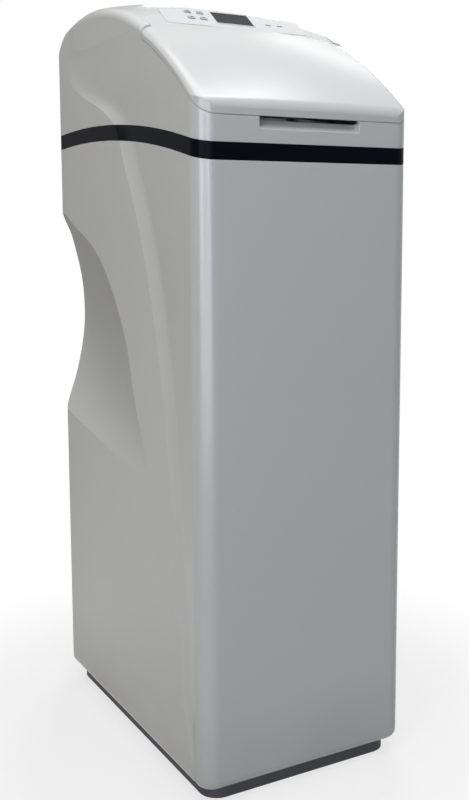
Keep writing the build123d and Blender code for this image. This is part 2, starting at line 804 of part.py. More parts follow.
def cabinet_shell():
    """Lower shell with flutes, rear scoops, floor and the overflow pocket."""
    shell = (OUTER - scoop_cutter(0.0)) & below_parting()
    shell -= INNER - scoop_cutter(WALL)
    half = POCKET_WIDTH / 2
    depth = BACK_Y - POCKET_DEPTH
    shell += box(POCKET_X - half - WALL, POCKET_X + half + WALL, depth - WALL, BACK_Y - 1,
                 POCKET_BOTTOM - WALL, POCKET_TOP + WALL)
    shell -= box(POCKET_X - half, POCKET_X + half, depth, BACK_Y + PAST, POCKET_BOTTOM, POCKET_TOP)
    shell -= rod((POCKET_X, depth + PAST, OVERFLOW_Z), (0, -1, 0), 4 * PAST, OVERFLOW_STEM_R)
    return shell - shell_screw_holes()


def trim_band():
    """Dark band between the shells, with a tongue that reaches into both."""
    band = OUTER & parting_slab(0.0, BAND_HEIGHT)
    levels = [PARTING_TOP + rise for rise in BAND_LEVELS]
    outer_tongue, inner_tongue = (
        Solid.make_loft([wall_outline(z, inset) for z in levels])
        for inset in (WALL + TONGUE_GAP, WALL + TONGUE_GAP + TONGUE_WALL))
    band += outer_tongue & parting_slab(-TONGUE_REACH, BAND_HEIGHT + TONGUE_REACH)
    band -= inner_tongue
    return band - [rod((x, BACK_Y, z), (0, -1, 0), 4 * WALL, SCREW_R) for x, z in shell_screw_places()]


def hood_shell():
    """Upper shell: walls, crowned rear top, console, lid ledge and finger recess."""
    rear_y = STEP_Y + LID_GAP
    low, high = PARTING_TOP - REACH, BLOCK_TOP + REACH
    top_zone = box(-FAR, FAR, -FAR, FAR, low, high)
    front_zone = seam_region(-LID_GAP / 2, rear_y, low)
    rear_zone = hood_crown(0.0) & box(-FAR, FAR, rear_y, FAR, low, high)
    outside = (OUTER & top_zone) & (front_zone + rear_zone)
    outside -= [below_parting(BAND_HEIGHT), console_notch()]
    rear_inside = hood_crown(WALL) & box(-FAR, FAR, rear_y + WALL, FAR, low - 1, high)
    rear_inside -= console_notch(WALL)
    front_inside = box(-FAR, FAR, -FAR, rear_y, low - 1, high)
    under_step = box(-FAR, FAR, rear_y - 1, rear_y + WALL + 1, low - 1, LEDGE_REAR_TOP - WALL)
    hood = outside - ((INNER & top_zone) & (rear_inside + [front_inside, under_step]))
    hood += [hood_ledge(low), hood_divider(), recess_pocket(), *hinge_lugs(), *board_bosses()]
    hood -= [recess_cutter(), rounded_prism(MOUTH_HALF_WIDTH, MOUTH_FRONT_Y, MOUTH_REAR_Y,
                                            MOUTH_CORNER_R, low, high),
             box(-REAR_OPENING_HALF, REAR_OPENING_HALF, BACK_Y - 2 * WALL, BACK_Y + PAST, low,
                 REAR_OPENING_TOP),
             rod((JACK_X, BACK_Y + PAST, JACK_Z), (0, -1, 0), JACK_LENGTH, JACK_R),
             *hinge_pin_holes(), *console_openings(), *shell_screw_holes()]
    return hood


def hood_ledge(low):
    """Ledge under the lid, following the seam."""
    rear = CONSOLE_FOOT_Y + WALL
    under = seam_region(-LEDGE_DROP - LEDGE_THICK, rear + 1, low)
    return (seam_region(-LEDGE_DROP, rear, low) - under) & OUTER


def hood_divider():
    """Cross wall between the salt opening and the room of the valve."""
    return OUTER & box(-FAR, FAR, CONSOLE_FOOT_Y, CONSOLE_FOOT_Y + WALL, DIVIDER_BOTTOM,
                       console_height(CONSOLE_FOOT_Y) - 1)


def recess_pocket():
    """Block behind the front wall that the finger recess is cut into."""
    seam_z = seam_point(FRONT_Y)[2]
    half = RECESS_WIDTH / 2 + RECESS_WALL
    return box(-half, half, FRONT_Y + 1, FRONT_Y + RECESS_DEPTH + RECESS_WALL,
               seam_z - RECESS_LIP - RECESS_WALL, seam_z - LEDGE_DROP)


def recess_cutter():
    """Finger recess: slanted floor, then a level slot under the lip of the lid."""
    seam_z = seam_point(FRONT_Y)[2]
    front, back, top = FRONT_Y - PAST, FRONT_Y + RECESS_DEPTH, seam_z + RECESS_UP
    low = seam_z - RECESS_LIP
    high = low + RECESS_FLOOR_RUN
    outline = [(front, low), (FRONT_Y, low), (FRONT_Y + RECESS_FLOOR_RUN, high), (back, high),
               (back, top), (front, top)]
    return side_prism(Polyline(*[(0, y, z) for y, z in outline], close=True), RECESS_WIDTH / 2)


def hinge_lugs():
    """Ears that stand on the ledge and carry the hinge pins."""
    lugs = []
    for x in hinge_ear_places():
        foot = box(x - EAR_WIDTH / 2, x + EAR_WIDTH / 2, HINGE_Y - EAR_R, HINGE_Y + EAR_R,
                   LEDGE_REAR_TOP - LEDGE_THICK, HINGE_Z)
        lugs.append(foot + rod((x - EAR_WIDTH / 2, HINGE_Y, HINGE_Z), (1, 0, 0), EAR_WIDTH, EAR_R))
    return lugs


def hinge_pin_holes():
    """Holes for the hinge pins through the ears."""
    return [rod((x - EAR_WIDTH, HINGE_Y, HINGE_Z), (1, 0, 0), 2 * EAR_WIDTH, PIN_R)
            for x in hinge_ear_places()]


def board_screw_places():
    """Where the control board is screwed to its bosses, in the slope."""
    for x in (-BOSS_X, BOSS_X):
        for v in (-BOSS_V, BOSS_V):
            yield x, v


def board_bosses():
    """Round bosses under the console for the control board."""
    return [console_rod(x, v, BOARD_TOP, BOSS_R, -BOARD_TOP - 1) for x, v in board_screw_places()]


def console_openings():
    """Everything cut into the console: fascia bed, display, buttons, lights, screw holes."""
    deep, high = -2 * WALL, PAST
    half_w, half_h = DISPLAY_WIDTH / 2 - DISPLAY_LEDGE, DISPLAY_HEIGHT / 2 - DISPLAY_LEDGE
    side, below = BUTTON_WIDTH, BUTTON_HEIGHT
    bed = extrude(offset(fascia_outline(), FASCIA_RUN), 4 * PAST)
    cuts = [CONSOLE.location * (Pos(0, 0, FASCIA_UNDER) * bed),
            console_box(-half_w, half_w, -half_h, half_h, deep, high),
            console_box(min(BUTTON_X) - side, max(BUTTON_X) + side, min(BUTTON_ROWS) - below,
                        max(BUTTON_ROWS) + below - BUTTON_SLOT_TRIM, deep, high)]
    cuts += [light_box(x, deep, high) for x in LIGHT_X]
    cuts += [console_rod(x, v, BOARD_LOW, SCREW_R, BOARD_DEPTH - WALL - 2)
             for x, v in board_screw_places()]
    return cuts


def light_box(x, low, high):
    """Block of one indicator light between two depths."""
    return console_box(x - LIGHT_WIDTH / 2, x + LIGHT_WIDTH / 2, LIGHT_ROW - LIGHT_HEIGHT / 2,
                       LIGHT_ROW + LIGHT_HEIGHT / 2, low, high)


def hinge_ear_places():
    """Middle of each hinge ear across the cabinet."""
    reach = KNUCKLE_WIDTH / 2 + EAR_GAP + EAR_WIDTH / 2
    for side in (-1, 1):
        for way in (-1, 1):
            yield side * HINGE_X + way * reach


def salt_lid():
    """Hinged lid with skirts, a stiffening rib and two hinge knuckles."""
    rear = box(-FAR, FAR, -FAR, STEP_Y, LID_ZONE_BOTTOM, BLOCK_TOP)
    outside = OUTER & lid_crown(0.0) & seam_region(LID_GAP / 2, STEP_Y, BLOCK_TOP) & rear
    inside = INNER & lid_crown(LID_SKIN)
    lid = outside - inside
    front = FRONT_Y + RECESS_DEPTH + RECESS_WALL + 1
    half = HALF_W - LID_RIB_INSET
    back = HINGE_Y - EAR_R - LID_RIB_CLEAR
    rib = rounded_prism(half, front, back, LID_RIB_CORNER_R, LID_ZONE_BOTTOM, BLOCK_TOP)
    rib -= rounded_prism(half - LID_RIB, front + LID_RIB, back - LID_RIB, LID_RIB_CORNER_R - LID_RIB,
                         LID_ZONE_BOTTOM - 1, BLOCK_TOP + 1)
    lid += rib & outside & seam_region(LID_RIB_GAP, STEP_Y, BLOCK_TOP)
    for side in (-1, 1):
        x = side * HINGE_X
        start = x - KNUCKLE_WIDTH / 2
        web = box(start, start + KNUCKLE_WIDTH, HINGE_Y - KNUCKLE_R, HINGE_Y + KNUCKLE_R,
                  HINGE_Z, BLOCK_TOP)
        knuckle = rod((start, HINGE_Y, HINGE_Z), (1, 0, 0), KNUCKLE_WIDTH, KNUCKLE_R)
        lid += web & outside
        lid += knuckle
        lid += box(start, start + KNUCKLE_WIDTH, HINGE_Y - KNUCKLE_R, HINGE_Y + KNUCKLE_R,
                   HINGE_Z, lid_top(HINGE_Y, HINGE_X) - LID_SKIN)
        lid -= rod((start - 1, HINGE_Y, HINGE_Z), (1, 0, 0), KNUCKLE_WIDTH + 2, PIN_R + PIN_RUN)
    return lid


def lid_hinge_pins():
    """Steel pins held in the ears of the hood."""
    length = KNUCKLE_WIDTH + 2 * EAR_GAP + 2 * EAR_WIDTH
    return [rod((side * HINGE_X - length / 2, HINGE_Y, HINGE_Z), (1, 0, 0), length, PIN_R)
            for side in (-1, 1)]


def lid_seal():
    """Rubber strip on the ledge, just under the rib of the lid."""
    front = FRONT_Y + RECESS_DEPTH + RECESS_WALL + 1
    half = HALF_W - LID_RIB_INSET + (SEAL_WIDTH - LID_RIB) / 2
    back = HINGE_Y - EAR_R - LID_RIB_CLEAR
    ring = rounded_prism(half, front, back, LID_RIB_CORNER_R, LID_ZONE_BOTTOM, BLOCK_TOP)
    ring -= rounded_prism(half - SEAL_WIDTH, front + SEAL_WIDTH, back - SEAL_WIDTH,
                          LID_RIB_CORNER_R - SEAL_WIDTH, LID_ZONE_BOTTOM - 1, BLOCK_TOP + 1)
    return ring & (seam_region(-LEDGE_DROP, STEP_Y, BLOCK_TOP) - seam_region(-SEAL_GAP, STEP_Y + 1,
                                                                            BLOCK_TOP))


def fascia_outline():
    """Outline of the fascia in the slope: level below, bowed above."""
    left, right = (-FASCIA_HALF_WIDTH, FASCIA_LOW), (FASCIA_HALF_WIDTH, FASCIA_LOW)
    top_left = (-FASCIA_HALF_WIDTH, FASCIA_SIDE_HIGH)
    top_right = (FASCIA_HALF_WIDTH, FASCIA_SIDE_HIGH)
    outline = make_face([Line(left, right), Line(right, top_right),
                         ThreePointArc(top_right, (0, FASCIA_MID_HIGH), top_left),
                         Line(top_left, left)])
    return fillet(outline.vertices(), FASCIA_CORNER_R)


def panel_fascia():
    """Thin fascia in the console with openings for display, buttons and lights."""
    plate = CONSOLE.location * (Pos(0, 0, FASCIA_UNDER) * extrude(fascia_outline(), FASCIA_THICK))
    deep, high = -2 * WALL, PAST
    half_w, half_h = DISPLAY_WIDTH / 2, DISPLAY_HEIGHT / 2
    hole = SlotOverall(BUTTON_WIDTH + 2 * BUTTON_RUN, BUTTON_HEIGHT + 2 * BUTTON_RUN)
    cuts = [console_box(-half_w, half_w, -half_h, half_h, deep, high)]
    cuts += [CONSOLE.location * (Pos(x, v, deep) * extrude(hole, high - deep))
             for x in BUTTON_X for v in BUTTON_ROWS]
    cuts += [light_box(x, deep, high) for x in LIGHT_X]
    return plate - cuts


def display_window():
    """Clear window that sits in the fascia, on the ledge of the console."""
    half_w, half_h = DISPLAY_WIDTH / 2, DISPLAY_HEIGHT / 2
    return console_box(-half_w, half_w, -half_h, half_h, FASCIA_UNDER, FASCIA_UNDER + DISPLAY_THICK)


def display_module():
    """Display under the window, standing on the board by two pin strips."""
    half_w, half_h = DISPLAY_WIDTH / 2 + MODULE_MARGIN, DISPLAY_HEIGHT / 2 + MODULE_MARGIN
    low = -WALL - MODULE_THICK
    module = console_box(-half_w, half_w, -half_h, half_h, low, -WALL)
    strip = half_w - 4 * PIN_STRIP
    for v in (-half_h + PIN_STRIP, half_h - PIN_STRIP):
        module += console_box(-strip, strip, v - PIN_STRIP / 2, v + PIN_STRIP / 2, BOARD_TOP, low)
    return module


def push_button(x, v):
    """Button: cap through the fascia, flange under it and a stem to its switch."""
    under = FASCIA_UNDER - DISC_GAP
    cap = extrude(SlotOverall(BUTTON_WIDTH, BUTTON_HEIGHT), FASCIA_THICK + BUTTON_PROUD)
    cap = fillet(cap.edges().group_by(Axis.Z)[-1], BUTTON_ROUND)
    button = Pos(0, 0, under) * cap
    flange = Box(BUTTON_WIDTH + 2 * BUTTON_FLANGE_LAP, BUTTON_HEIGHT + 2 * BUTTON_FLANGE_LAP,
                 BUTTON_FLANGE)
    button += Pos(0, 0, under - BUTTON_FLANGE / 2) * flange
    stem_end = BUTTON_TRAVEL + SEAT_GAP - SWITCH_DEPTH
    stem_length = under - BUTTON_FLANGE - stem_end
    button += Pos(0, 0, stem_end + stem_length / 2) * Cylinder(BUTTON_STEM_R, stem_length)
    return CONSOLE.location * (Pos(x, v, 0) * button)


def indicator_lights():
    """Two small light windows that pass through fascia and console."""
    return [light_box(x, -2 * WALL, FASCIA_PROUD) for x in LIGHT_X]


def control_board():
    """Circuit board under the console with switches, lamps, chip and lead socket."""
    half_w, half_h = BOARD_WIDTH / 2, BOARD_HEIGHT / 2
    board = console_box(-half_w, half_w, -half_h, half_h, BOARD_LOW, BOARD_TOP)
    half = SWITCH_SIZE / 2
    switch_top = -SWITCH_DEPTH - PLUNGER_HEIGHT
    extras = []
    for x in BUTTON_X:
        for v in BUTTON_ROWS:
            extras.append(console_box(x - half, x + half, v - half, v + half, BOARD_TOP, switch_top))
            extras.append(console_rod(x, v, switch_top, PLUNGER_R, PLUNGER_HEIGHT))
    for x in LIGHT_X:
        extras.append(console_box(x - LAMP_WIDTH / 2, x + LAMP_WIDTH / 2, LIGHT_ROW - LAMP_HEIGHT / 2,
                                  LIGHT_ROW + LAMP_HEIGHT / 2, BOARD_TOP, -2 * WALL))
    extras.append(console_box(-CHIP_SIZE, 0, -CHIP_SIZE / 2, CHIP_SIZE / 2, BOARD_LOW - CHIP_THICK,
                              BOARD_LOW))
    extras.append(console_box(LEAD_X - SOCKET_WIDTH / 2, LEAD_X + SOCKET_WIDTH / 2, -SOCKET_HEIGHT / 2,
                              SOCKET_HEIGHT / 2, BOARD_LOW - SOCKET_DEPTH, BOARD_LOW))
    board += extras
    return board - [console_rod(x, v, BOARD_LOW - 1, SCREW_R + SCREW_RUN, BOARD_THICK + 2)
                    for x, v in board_screw_places()]


def board_screws():
    """Screws that hold the board to the bosses of the hood."""
    length = BOARD_DEPTH - 2 * WALL
    return [console_rod(x, v, BOARD_LOW, SCREW_R, length)
            + console_rod(x, v, BOARD_LOW - SCREW_HEAD, SCREW_HEAD_R, SCREW_HEAD)
            for x, v in board_screw_places()]


def shell_screws():
    """Flush cross-slotted screws at the back that tie both shells to the trim band."""
    screws = []
    for x, z in shell_screw_places():
        face = BACK_Y - SCREW_SLOT / 4
        head = rod((x, face, z), (0, -1, 0), SCREW_HEAD, SCREW_HEAD_R)
        half, reach = SCREW_SLOT / 2, SCREW_HEAD_R - SCREW_SLOT
        head -= [box(x - half, x + half, face - SCREW_SLOT, face + 1, z - reach, z + reach),
                 box(x - reach, x + reach, face - SCREW_SLOT, face + 1, z - half, z + half)]
        screws.append(head + rod((x, face - SCREW_HEAD, z), (0, -1, 0), WALL + TONGUE_WALL, SCREW_R))
    return screws


def tank_outline(inset):
    """Turned outline of the tank from its foot to the neck, drawn in by inset."""
    low, top = TANK_BOTTOM + inset, TANK_TOP - NECK_HEIGHT
    side, neck = TANK_R - inset, NECK_R - inset
    bend = sin(radians(45))
    dome, shoulder = TANK_DOME - inset, TANK_SHOULDER - inset
    shoulder_start = top - TANK_SHOULDER
    reach = side - TANK_FLAT_R
    dome_mid = (TANK_FLAT_R + reach * bend, 0, low + dome * (1 - bend))
    shoulder_mid = (neck + (side - neck) * bend, 0, shoulder_start + shoulder * bend)
    return make_face([
        Line((0, 0, low), (0, 0, TANK_TOP)), Line((0, 0, TANK_TOP), (neck, 0, TANK_TOP)),
        Line((neck, 0, TANK_TOP), (neck, 0, top - inset)),
        ThreePointArc((neck, 0, top - inset), shoulder_mid, (side, 0, shoulder_start)),
        Line((side, 0, shoulder_start), (side, 0, low + dome)),
        ThreePointArc((side, 0, low + dome), dome_mid, (TANK_FLAT_R, 0, low)),
        Line((TANK_FLAT_R, 0, low), (0, 0, low))])


def tank_solid(inset=0.0):
    """Whole tank volume, drawn in by inset."""
    return Pos(0, TANK_Y, 0) * revolve(tank_outline(inset), Axis.Z)


def upright(z0, z1, radius, x=0.0, y=TANK_Y):
    """Upright cylinder between two heights, on the tank axis unless placed elsewhere."""
    return rod((x, y, z0), (0, 0, 1), z1 - z0, radius)


def pressure_tank():
    """Hollow tank with an open neck."""
    opening = upright(TANK_TOP - NECK_HEIGHT - TANK_WALL, TANK_TOP + 1, NECK_R - TANK_WALL)
    return tank_solid() - tank_solid(TANK_WALL) - opening


def tank_filling(z0, z1):
    """What fills the tank between two heights, round the riser tube and its strainer."""
    filling = tank_solid(TANK_WALL) & box(-FAR, FAR, -FAR, FAR, z0, z1)
    riser = upright(STRAINER_BOTTOM, TANK_TOP, RISER_R + DISC_GAP)
    strainer = upright(STRAINER_BOTTOM, STRAINER_BOTTOM + STRAINER_HEIGHT, STRAINER_R + DISC_GAP)
    return filling - [riser, strainer]


def tank_boot():
    """Cup that the rounded tank stands in."""
    return upright(FLOOR_TOP, FLOOR_TOP + BOOT_HEIGHT, TANK_R + BOOT_WALL) - tank_solid()


def riser_tube():
    """Tube from the bottom strainer up into the valve."""
    start = STRAINER_BOTTOM + STRAINER_HEIGHT
    return upright(start, RISER_TOP, RISER_R) - upright(start - 1, RISER_TOP + 1, RISER_BORE)


def bottom_strainer():
    """Slotted basket at the foot of the riser tube."""
    low, top = STRAINER_BOTTOM, STRAINER_BOTTOM + STRAINER_HEIGHT
    basket = upright(low, top, STRAINER_R)
    basket -= upright(low + STRAINER_WALL, top - STRAINER_WALL, STRAINER_R - STRAINER_WALL)
    cuts = [upright(low + STRAINER_WALL, top + 1, RISER_BORE)]
    for i in range(STRAINER_SLOTS):
        z = low + STRAINER_PITCH * (i + 1)
        for turn in STRAINER_TURNS:
            slot = box(-FAR / 4, FAR / 4, -SLOT_WIDTH / 2, SLOT_WIDTH / 2, z, z + SLOT_HEIGHT)
            cuts.append(Pos(0, TANK_Y, 0) * Rot(0, 0, turn) * slot)
    return basket - cuts


def top_strainer():
    """Slotted cone under the valve, round the riser tube."""
    low, top = TANK_TOP - CONE_HEIGHT, TANK_TOP
    foot_r = RISER_R + 2 * CONE_WALL
    outer = revolved([(0, low), (foot_r, low), (CONE_TOP_R, top), (0, top)], 0, TANK_Y)
    inner = revolved([(0, low + CONE_WALL), (foot_r - CONE_WALL, low + CONE_WALL),
                      (CONE_TOP_R - CONE_WALL, top + 1), (0, top + 1)], 0, TANK_Y)
    cone = outer - inner + upright(low, low + CONE_RING, RISER_R + CONE_WALL)
    cuts = [upright(low - 1, top, RISER_R + SCREW_RUN)]
    for turn in range(0, 180, 45):
        slot = box(-2 * NECK_R, 2 * NECK_R, -SLOT_HEIGHT / 2, SLOT_HEIGHT / 2, low + CONE_RING + CONE_WALL,
                   top - 2 * CONE_WALL)
        cuts.append(Pos(0, TANK_Y, 0) * Rot(0, 0, turn) * slot)
    return cone - cuts


def along_y(x, y0, y1, radius, z=PORT_Z):
    """Cylinder along Y between two depths, at the height of the ports unless given."""
    return rod((x, y0, z), (0, 1, 0), y1 - y0, radius)


def seal_groove(x, y):
    """Ring groove in a port face at depth y."""
    ring = along_y(x, y - 2 * SEAL_CORD_R, y + 1, SEAL_RING_R + SEAL_CORD_R)
    return ring - along_y(x, y - 4 * SEAL_CORD_R, y + 2, SEAL_RING_R - SEAL_CORD_R)


def valve_ports():
    """Openings in the floor of the disc chamber as (x, y from the axis, radius)."""
    return [(-SIDE_PORT_X, 0, SIDE_PORT_R), (SIDE_PORT_X, 0, SIDE_PORT_R), (0, 0, CENTRE_PORT_R),
            (0, TANK_PORT_Y, TANK_PORT_R), (SIDE_PORT_X, CROSS_PORT_Y, CROSS_PORT_R),
            (-SIDE_PORT_X, CROSS_PORT_Y, CROSS_PORT_R)]


def valve_body():
    """Valve casting: collar on the tank neck, block with disc chamber, two rear ports."""
    base = TANK_TOP + VALVE_BASE_HEIGHT
    block = box(-VALVE_HALF_X, VALVE_HALF_X, VALVE_FRONT_Y, TANK_Y + VALVE_HALF_Y, base, VALVE_DECK)
    body = fillet(block.edges().filter_by(Axis.Z), VALVE_CORNER_R)
    parts = [upright(TANK_TOP - COLLAR_LAP, base + 2, VALVE_COLLAR_R),
             along_y(BRINE_X, VALVE_FRONT_Y - BRINE_BOSS, TANK_Y, BRINE_BOSS_R),
             rod((0, CROSS_Y, PORT_Z), (1, 0, 0), VALVE_HALF_X + DRAIN_BOSS, DRAIN_BOSS_R),
             rod((0, CROSS_Y, PORT_Z), (-1, 0, 0), VALVE_HALF_X + INJECTOR_BOSS, INJECTOR_BOSS_R)]
    cuts = [upright(TANK_TOP - NECK_HEIGHT, TANK_TOP, NECK_R + NECK_RUN),
            upright(CHAMBER_FLOOR, VALVE_DECK + 1, CHAMBER_R),
            upright(TANK_TOP - 1, RISER_TOP, RISER_R)]
    for x, y, radius in valve_ports():
        low = TANK_TOP - 1 if x == 0 else PORT_Z - radius - 1
        cuts.append(upright(low, CHAMBER_FLOOR + 1, radius, x, TANK_Y + y))
    for side in (-1, 1):
        x = side * PORT_X
        parts.append(along_y(x, TANK_Y, PORT_END, PORT_R))
        parts.append(along_y(x, PORT_END - FLANGE_THICK, PORT_END, PORT_FLANGE_R))
        cuts.append(along_y(x, TANK_Y - PORT_BORE, PORT_END + 1, PORT_BORE))
        cuts.append(rod((x, TANK_Y, PORT_Z), (-side, 0, 0), PORT_X - SIDE_PORT_X,
                        SIDE_PORT_R - PACK_GAP))
        cuts.append(seal_groove(x, PORT_END))
    stub = VALVE_FRONT_Y - BRINE_BOSS - 1
    cuts += [along_y(BRINE_X, stub, CROSS_Y, ROD_BORE),
             along_y(BRINE_X, stub, VALVE_FRONT_Y - BRINE_BOSS + TUBE_SEAT, ROD_R),
             rod((VALVE_HALF_X + 2 * DRAIN_BOSS, CROSS_Y, PORT_Z), (-1, 0, 0),
                 VALVE_HALF_X + 2 * DRAIN_BOSS - SIDE_PORT_X, BARB_BORE),
             rod((-VALVE_HALF_X, CROSS_Y, PORT_Z), (1, 0, 0), VALVE_HALF_X - SIDE_PORT_X,
                 ROD_BORE + PACK_GAP),
             rod((-VALVE_HALF_X - 2 * INJECTOR_BOSS, CROSS_Y, PORT_Z), (1, 0, 0),
                 INJECTOR_DEPTH + INJECTOR_BOSS, INJECTOR_R)]
    cuts += [upright(VALVE_DECK - DECK_SCREW, VALVE_DECK + 1, SCREW_R, x, y)
             for x, y in deck_screw_places()]
    return body + parts - cuts


def port_seals():
    """Rubber rings in the grooves of valve and bypass."""
    rings = []
    for side in (-1, 1):
        for y in (PORT_END, BYPASS_END):
            place = Plane((side * PORT_X, y - SEAL_CORD_R, PORT_Z), z_dir=(0, 1, 0))
            rings.append(place.location * Torus(SEAL_RING_R, SEAL_CORD_R))
    return rings


def coupling_clips():
    """Spring clips that hold the flanges together, open below."""
    inner = PORT_FLANGE_R + CLIP_RUN
    outer, neck = inner + CLIP_WALL, PORT_R + CLIP_RUN
    grip = FLANGE_THICK + CLIP_RUN
    cheek = grip + CLIP_CHEEK
    points = [(inner, -grip), (inner, grip), (neck, grip), (neck, cheek), (outer, cheek),
              (outer, -cheek), (neck, -cheek), (neck, -grip)]
    section = make_face(Polyline(*[(r, 0, y) for r, y in points], close=True))
    start = (180 - CLIP_ARC) / 2
    clips = []
    for side in (-1, 1):
        for y in (PORT_END, BYPASS_END):
            place = Plane((side * PORT_X, y, PORT_Z), x_dir=(1, 0, 0), z_dir=(0, -1, 0))
            clips.append(place.location * (Rot(0, 0, start) * revolve(section, Axis.Z, CLIP_ARC)))
    return clips


def bypass_body():
    """Bypass block: two straight passages, a cross tube and two upright plug bores."""
    body = rod((-PORT_X, BYPASS_Y, PORT_Z), (1, 0, 0), 2 * PORT_X, CROSS_TUBE_R)
    parts = []
    cuts = [rod((-PORT_X, BYPASS_Y, PORT_Z), (1, 0, 0), 2 * PORT_X, CROSS_BORE)]
    for side in (-1, 1):
        x = side * PORT_X
        parts += [along_y(x, PORT_END, BYPASS_END, PORT_R),
                  along_y(x, PORT_END, PORT_END + FLANGE_THICK, PORT_FLANGE_R),
                  along_y(x, BYPASS_END - FLANGE_THICK, BYPASS_END, PORT_FLANGE_R),
                  upright(PLUG_LOW - PLUG_FLOOR, PLUG_TOP, PLUG_R + PLUG_WALL, x, BYPASS_Y)]
        cuts += [along_y(x, PORT_END - 1, BYPASS_END + 1, PORT_BORE),
                 upright(PLUG_LOW, PLUG_TOP + 1, PLUG_R, x, BYPASS_Y),
                 seal_groove(x, BYPASS_END)]
    return body + parts - cuts


def bypass_knob(side):
    """Quarter-turn plug with its passage and a bar handle along the pipe."""
    x = side * PORT_X
    collar = PLUG_TOP + PACK_GAP
    bar_low = collar + KNOB_COLLAR
    knob = upright(PLUG_LOW + DISC_GAP, collar + 1, PLUG_R - PLUG_RUN, x, BYPASS_Y)
    knob -= along_y(x, PORT_END, BYPASS_END, PLUG_BORE)
    knob += upright(collar, bar_low, PLUG_R + PLUG_WALL, x, BYPASS_Y)
    bar = Pos(x, BYPASS_Y, bar_low) * extrude(SlotOverall(KNOB_LENGTH, KNOB_WIDTH, 90), KNOB_HEIGHT)
    return knob + fillet(bar.edges().group_by(Axis.Z)[-1], KNOB_ROUND)


def pipe_connector(side):
    """Pipe end behind the bypass: flange, body and outside thread for the house pipe."""
    x = side * PORT_X
    end = BYPASS_END + CONNECTOR_LENGTH
    part = along_y(x, BYPASS_END, end, THREAD_R)
    part = chamfer(part.edges().group_by(Axis.Y)[-1], 1.0)
    part += [along_y(x, BYPASS_END, BYPASS_END + FLANGE_THICK, PORT_FLANGE_R),
             along_y(x, BYPASS_END, end - THREAD_LENGTH, PORT_R)]
    return part - along_y(x, BYPASS_END - 1, end + 1, CONNECTOR_BORE)


def fixed_disc():
    """Fixed ceramic disc on the chamber floor, with the ports of the valve."""
    disc = upright(CHAMBER_FLOOR, CHAMBER_FLOOR + DISC_THICK, FIXED_DISC_R)
    return disc - [upright(CHAMBER_FLOOR - 1, CHAMBER_FLOOR + DISC_THICK + 1, radius, x, TANK_Y + y)
                   for x, y, radius in valve_ports()]


def moving_disc():
    """Moving ceramic disc with a through port and a blind bridge below."""
    low = CHAMBER_FLOOR + DISC_THICK + DISC_GAP
    disc = upright(low, low + DISC_THICK, MOVING_DISC_R)
    bridge = Pos(0, TANK_Y + TANK_PORT_Y / 2, low) * extrude(
        SlotOverall(TANK_PORT_Y + 2 * TANK_PORT_R, 2 * TANK_PORT_R, 90), DISC_THICK / 2)
    return disc - [bridge, upright(low - 1, low + DISC_THICK + 1, SIDE_PORT_R, SIDE_PORT_X)]


def valve_stem():
    """Stem that turns the moving disc and carries the drive gear."""
    low = CHAMBER_FLOOR + 2 * DISC_THICK + DISC_GAP
    return upright(low, low + STEM_FLANGE, STEM_FLANGE_R) + upright(low, GEAR_TOP + STEM_ABOVE, STEM_R)


def deck_screw_places():
    """Corners where the drive deck is screwed to the valve."""
    reach_x, reach_y = VALVE_HALF_X - DECK_SCREW_INSET, VALVE_HALF_Y - DECK_SCREW_INSET
    for x in (-reach_x, reach_x):
        for y in (TANK_Y - reach_y, TANK_Y + reach_y):
            yield x, y


def drive_deck():
    """Plate over the disc chamber with the stem bearing and two motor posts."""
    deck = box(-DRIVE_HALF_X, DRIVE_HALF_X, DRIVE_Y0, DRIVE_Y1, VALVE_DECK, DECK_TOP)
    deck = fillet(deck.edges().filter_by(Axis.Z), VALVE_CORNER_R)
    deck += [upright(VALVE_DECK + 1, GEAR_LOW - PACK_GAP, STEM_R + STEM_BOSS_WALL)]
    deck += [upright(VALVE_DECK + 1, MOTOR_LOW, POST_R, side * POST_REACH, MOTOR_Y) for side in (-1, 1)]
    cuts = [upright(VALVE_DECK - 1, GEAR_LOW, STEM_R + STEM_RUN)]
    cuts += [upright(VALVE_DECK - 1, DECK_TOP + 1, SCREW_R + SCREW_RUN, x, y)
             for x, y in deck_screw_places()]
    return deck - cuts


def deck_screws():
    """Screws through the drive deck into the valve."""
    return [upright(DECK_TOP, DECK_TOP + SCREW_HEAD, SCREW_HEAD_R, x, y)
            + upright(DECK_TOP - DECK_SCREW, DECK_TOP + 1, SCREW_R, x, y)
            for x, y in deck_screw_places()]


def drive_cover():
    """Cover over gear and motor, open below, with a hole for the lead."""
    cover = box(-DRIVE_HALF_X, DRIVE_HALF_X, DRIVE_Y0, DRIVE_Y1, DECK_TOP, DRIVE_TOP)
    cover = fillet(cover.edges().filter_by(Axis.Z), VALVE_CORNER_R)
    cover = fillet(cover.edges().group_by(Axis.Z)[-1], DRIVE_ROUND)
    half = DRIVE_HALF_X - DRIVE_WALL
    hollow = box(-half, half, DRIVE_Y0 + DRIVE_WALL, DRIVE_Y1 - DRIVE_WALL, DECK_TOP - 1,
                 DRIVE_TOP - DRIVE_WALL)
    hollow = fillet(hollow.edges().filter_by(Axis.Z), VALVE_CORNER_R - DRIVE_WALL)
    return cover - [hollow, rod((LEAD_ENTRY_X, DRIVE_Y0 - 1, LEAD_ENTRY_Z), (0, 1, 0),
                                2 * DRIVE_WALL, LEAD_R)]


def involute(angle):
    """Involute function of a pressure angle."""
    return tan(angle) - angle


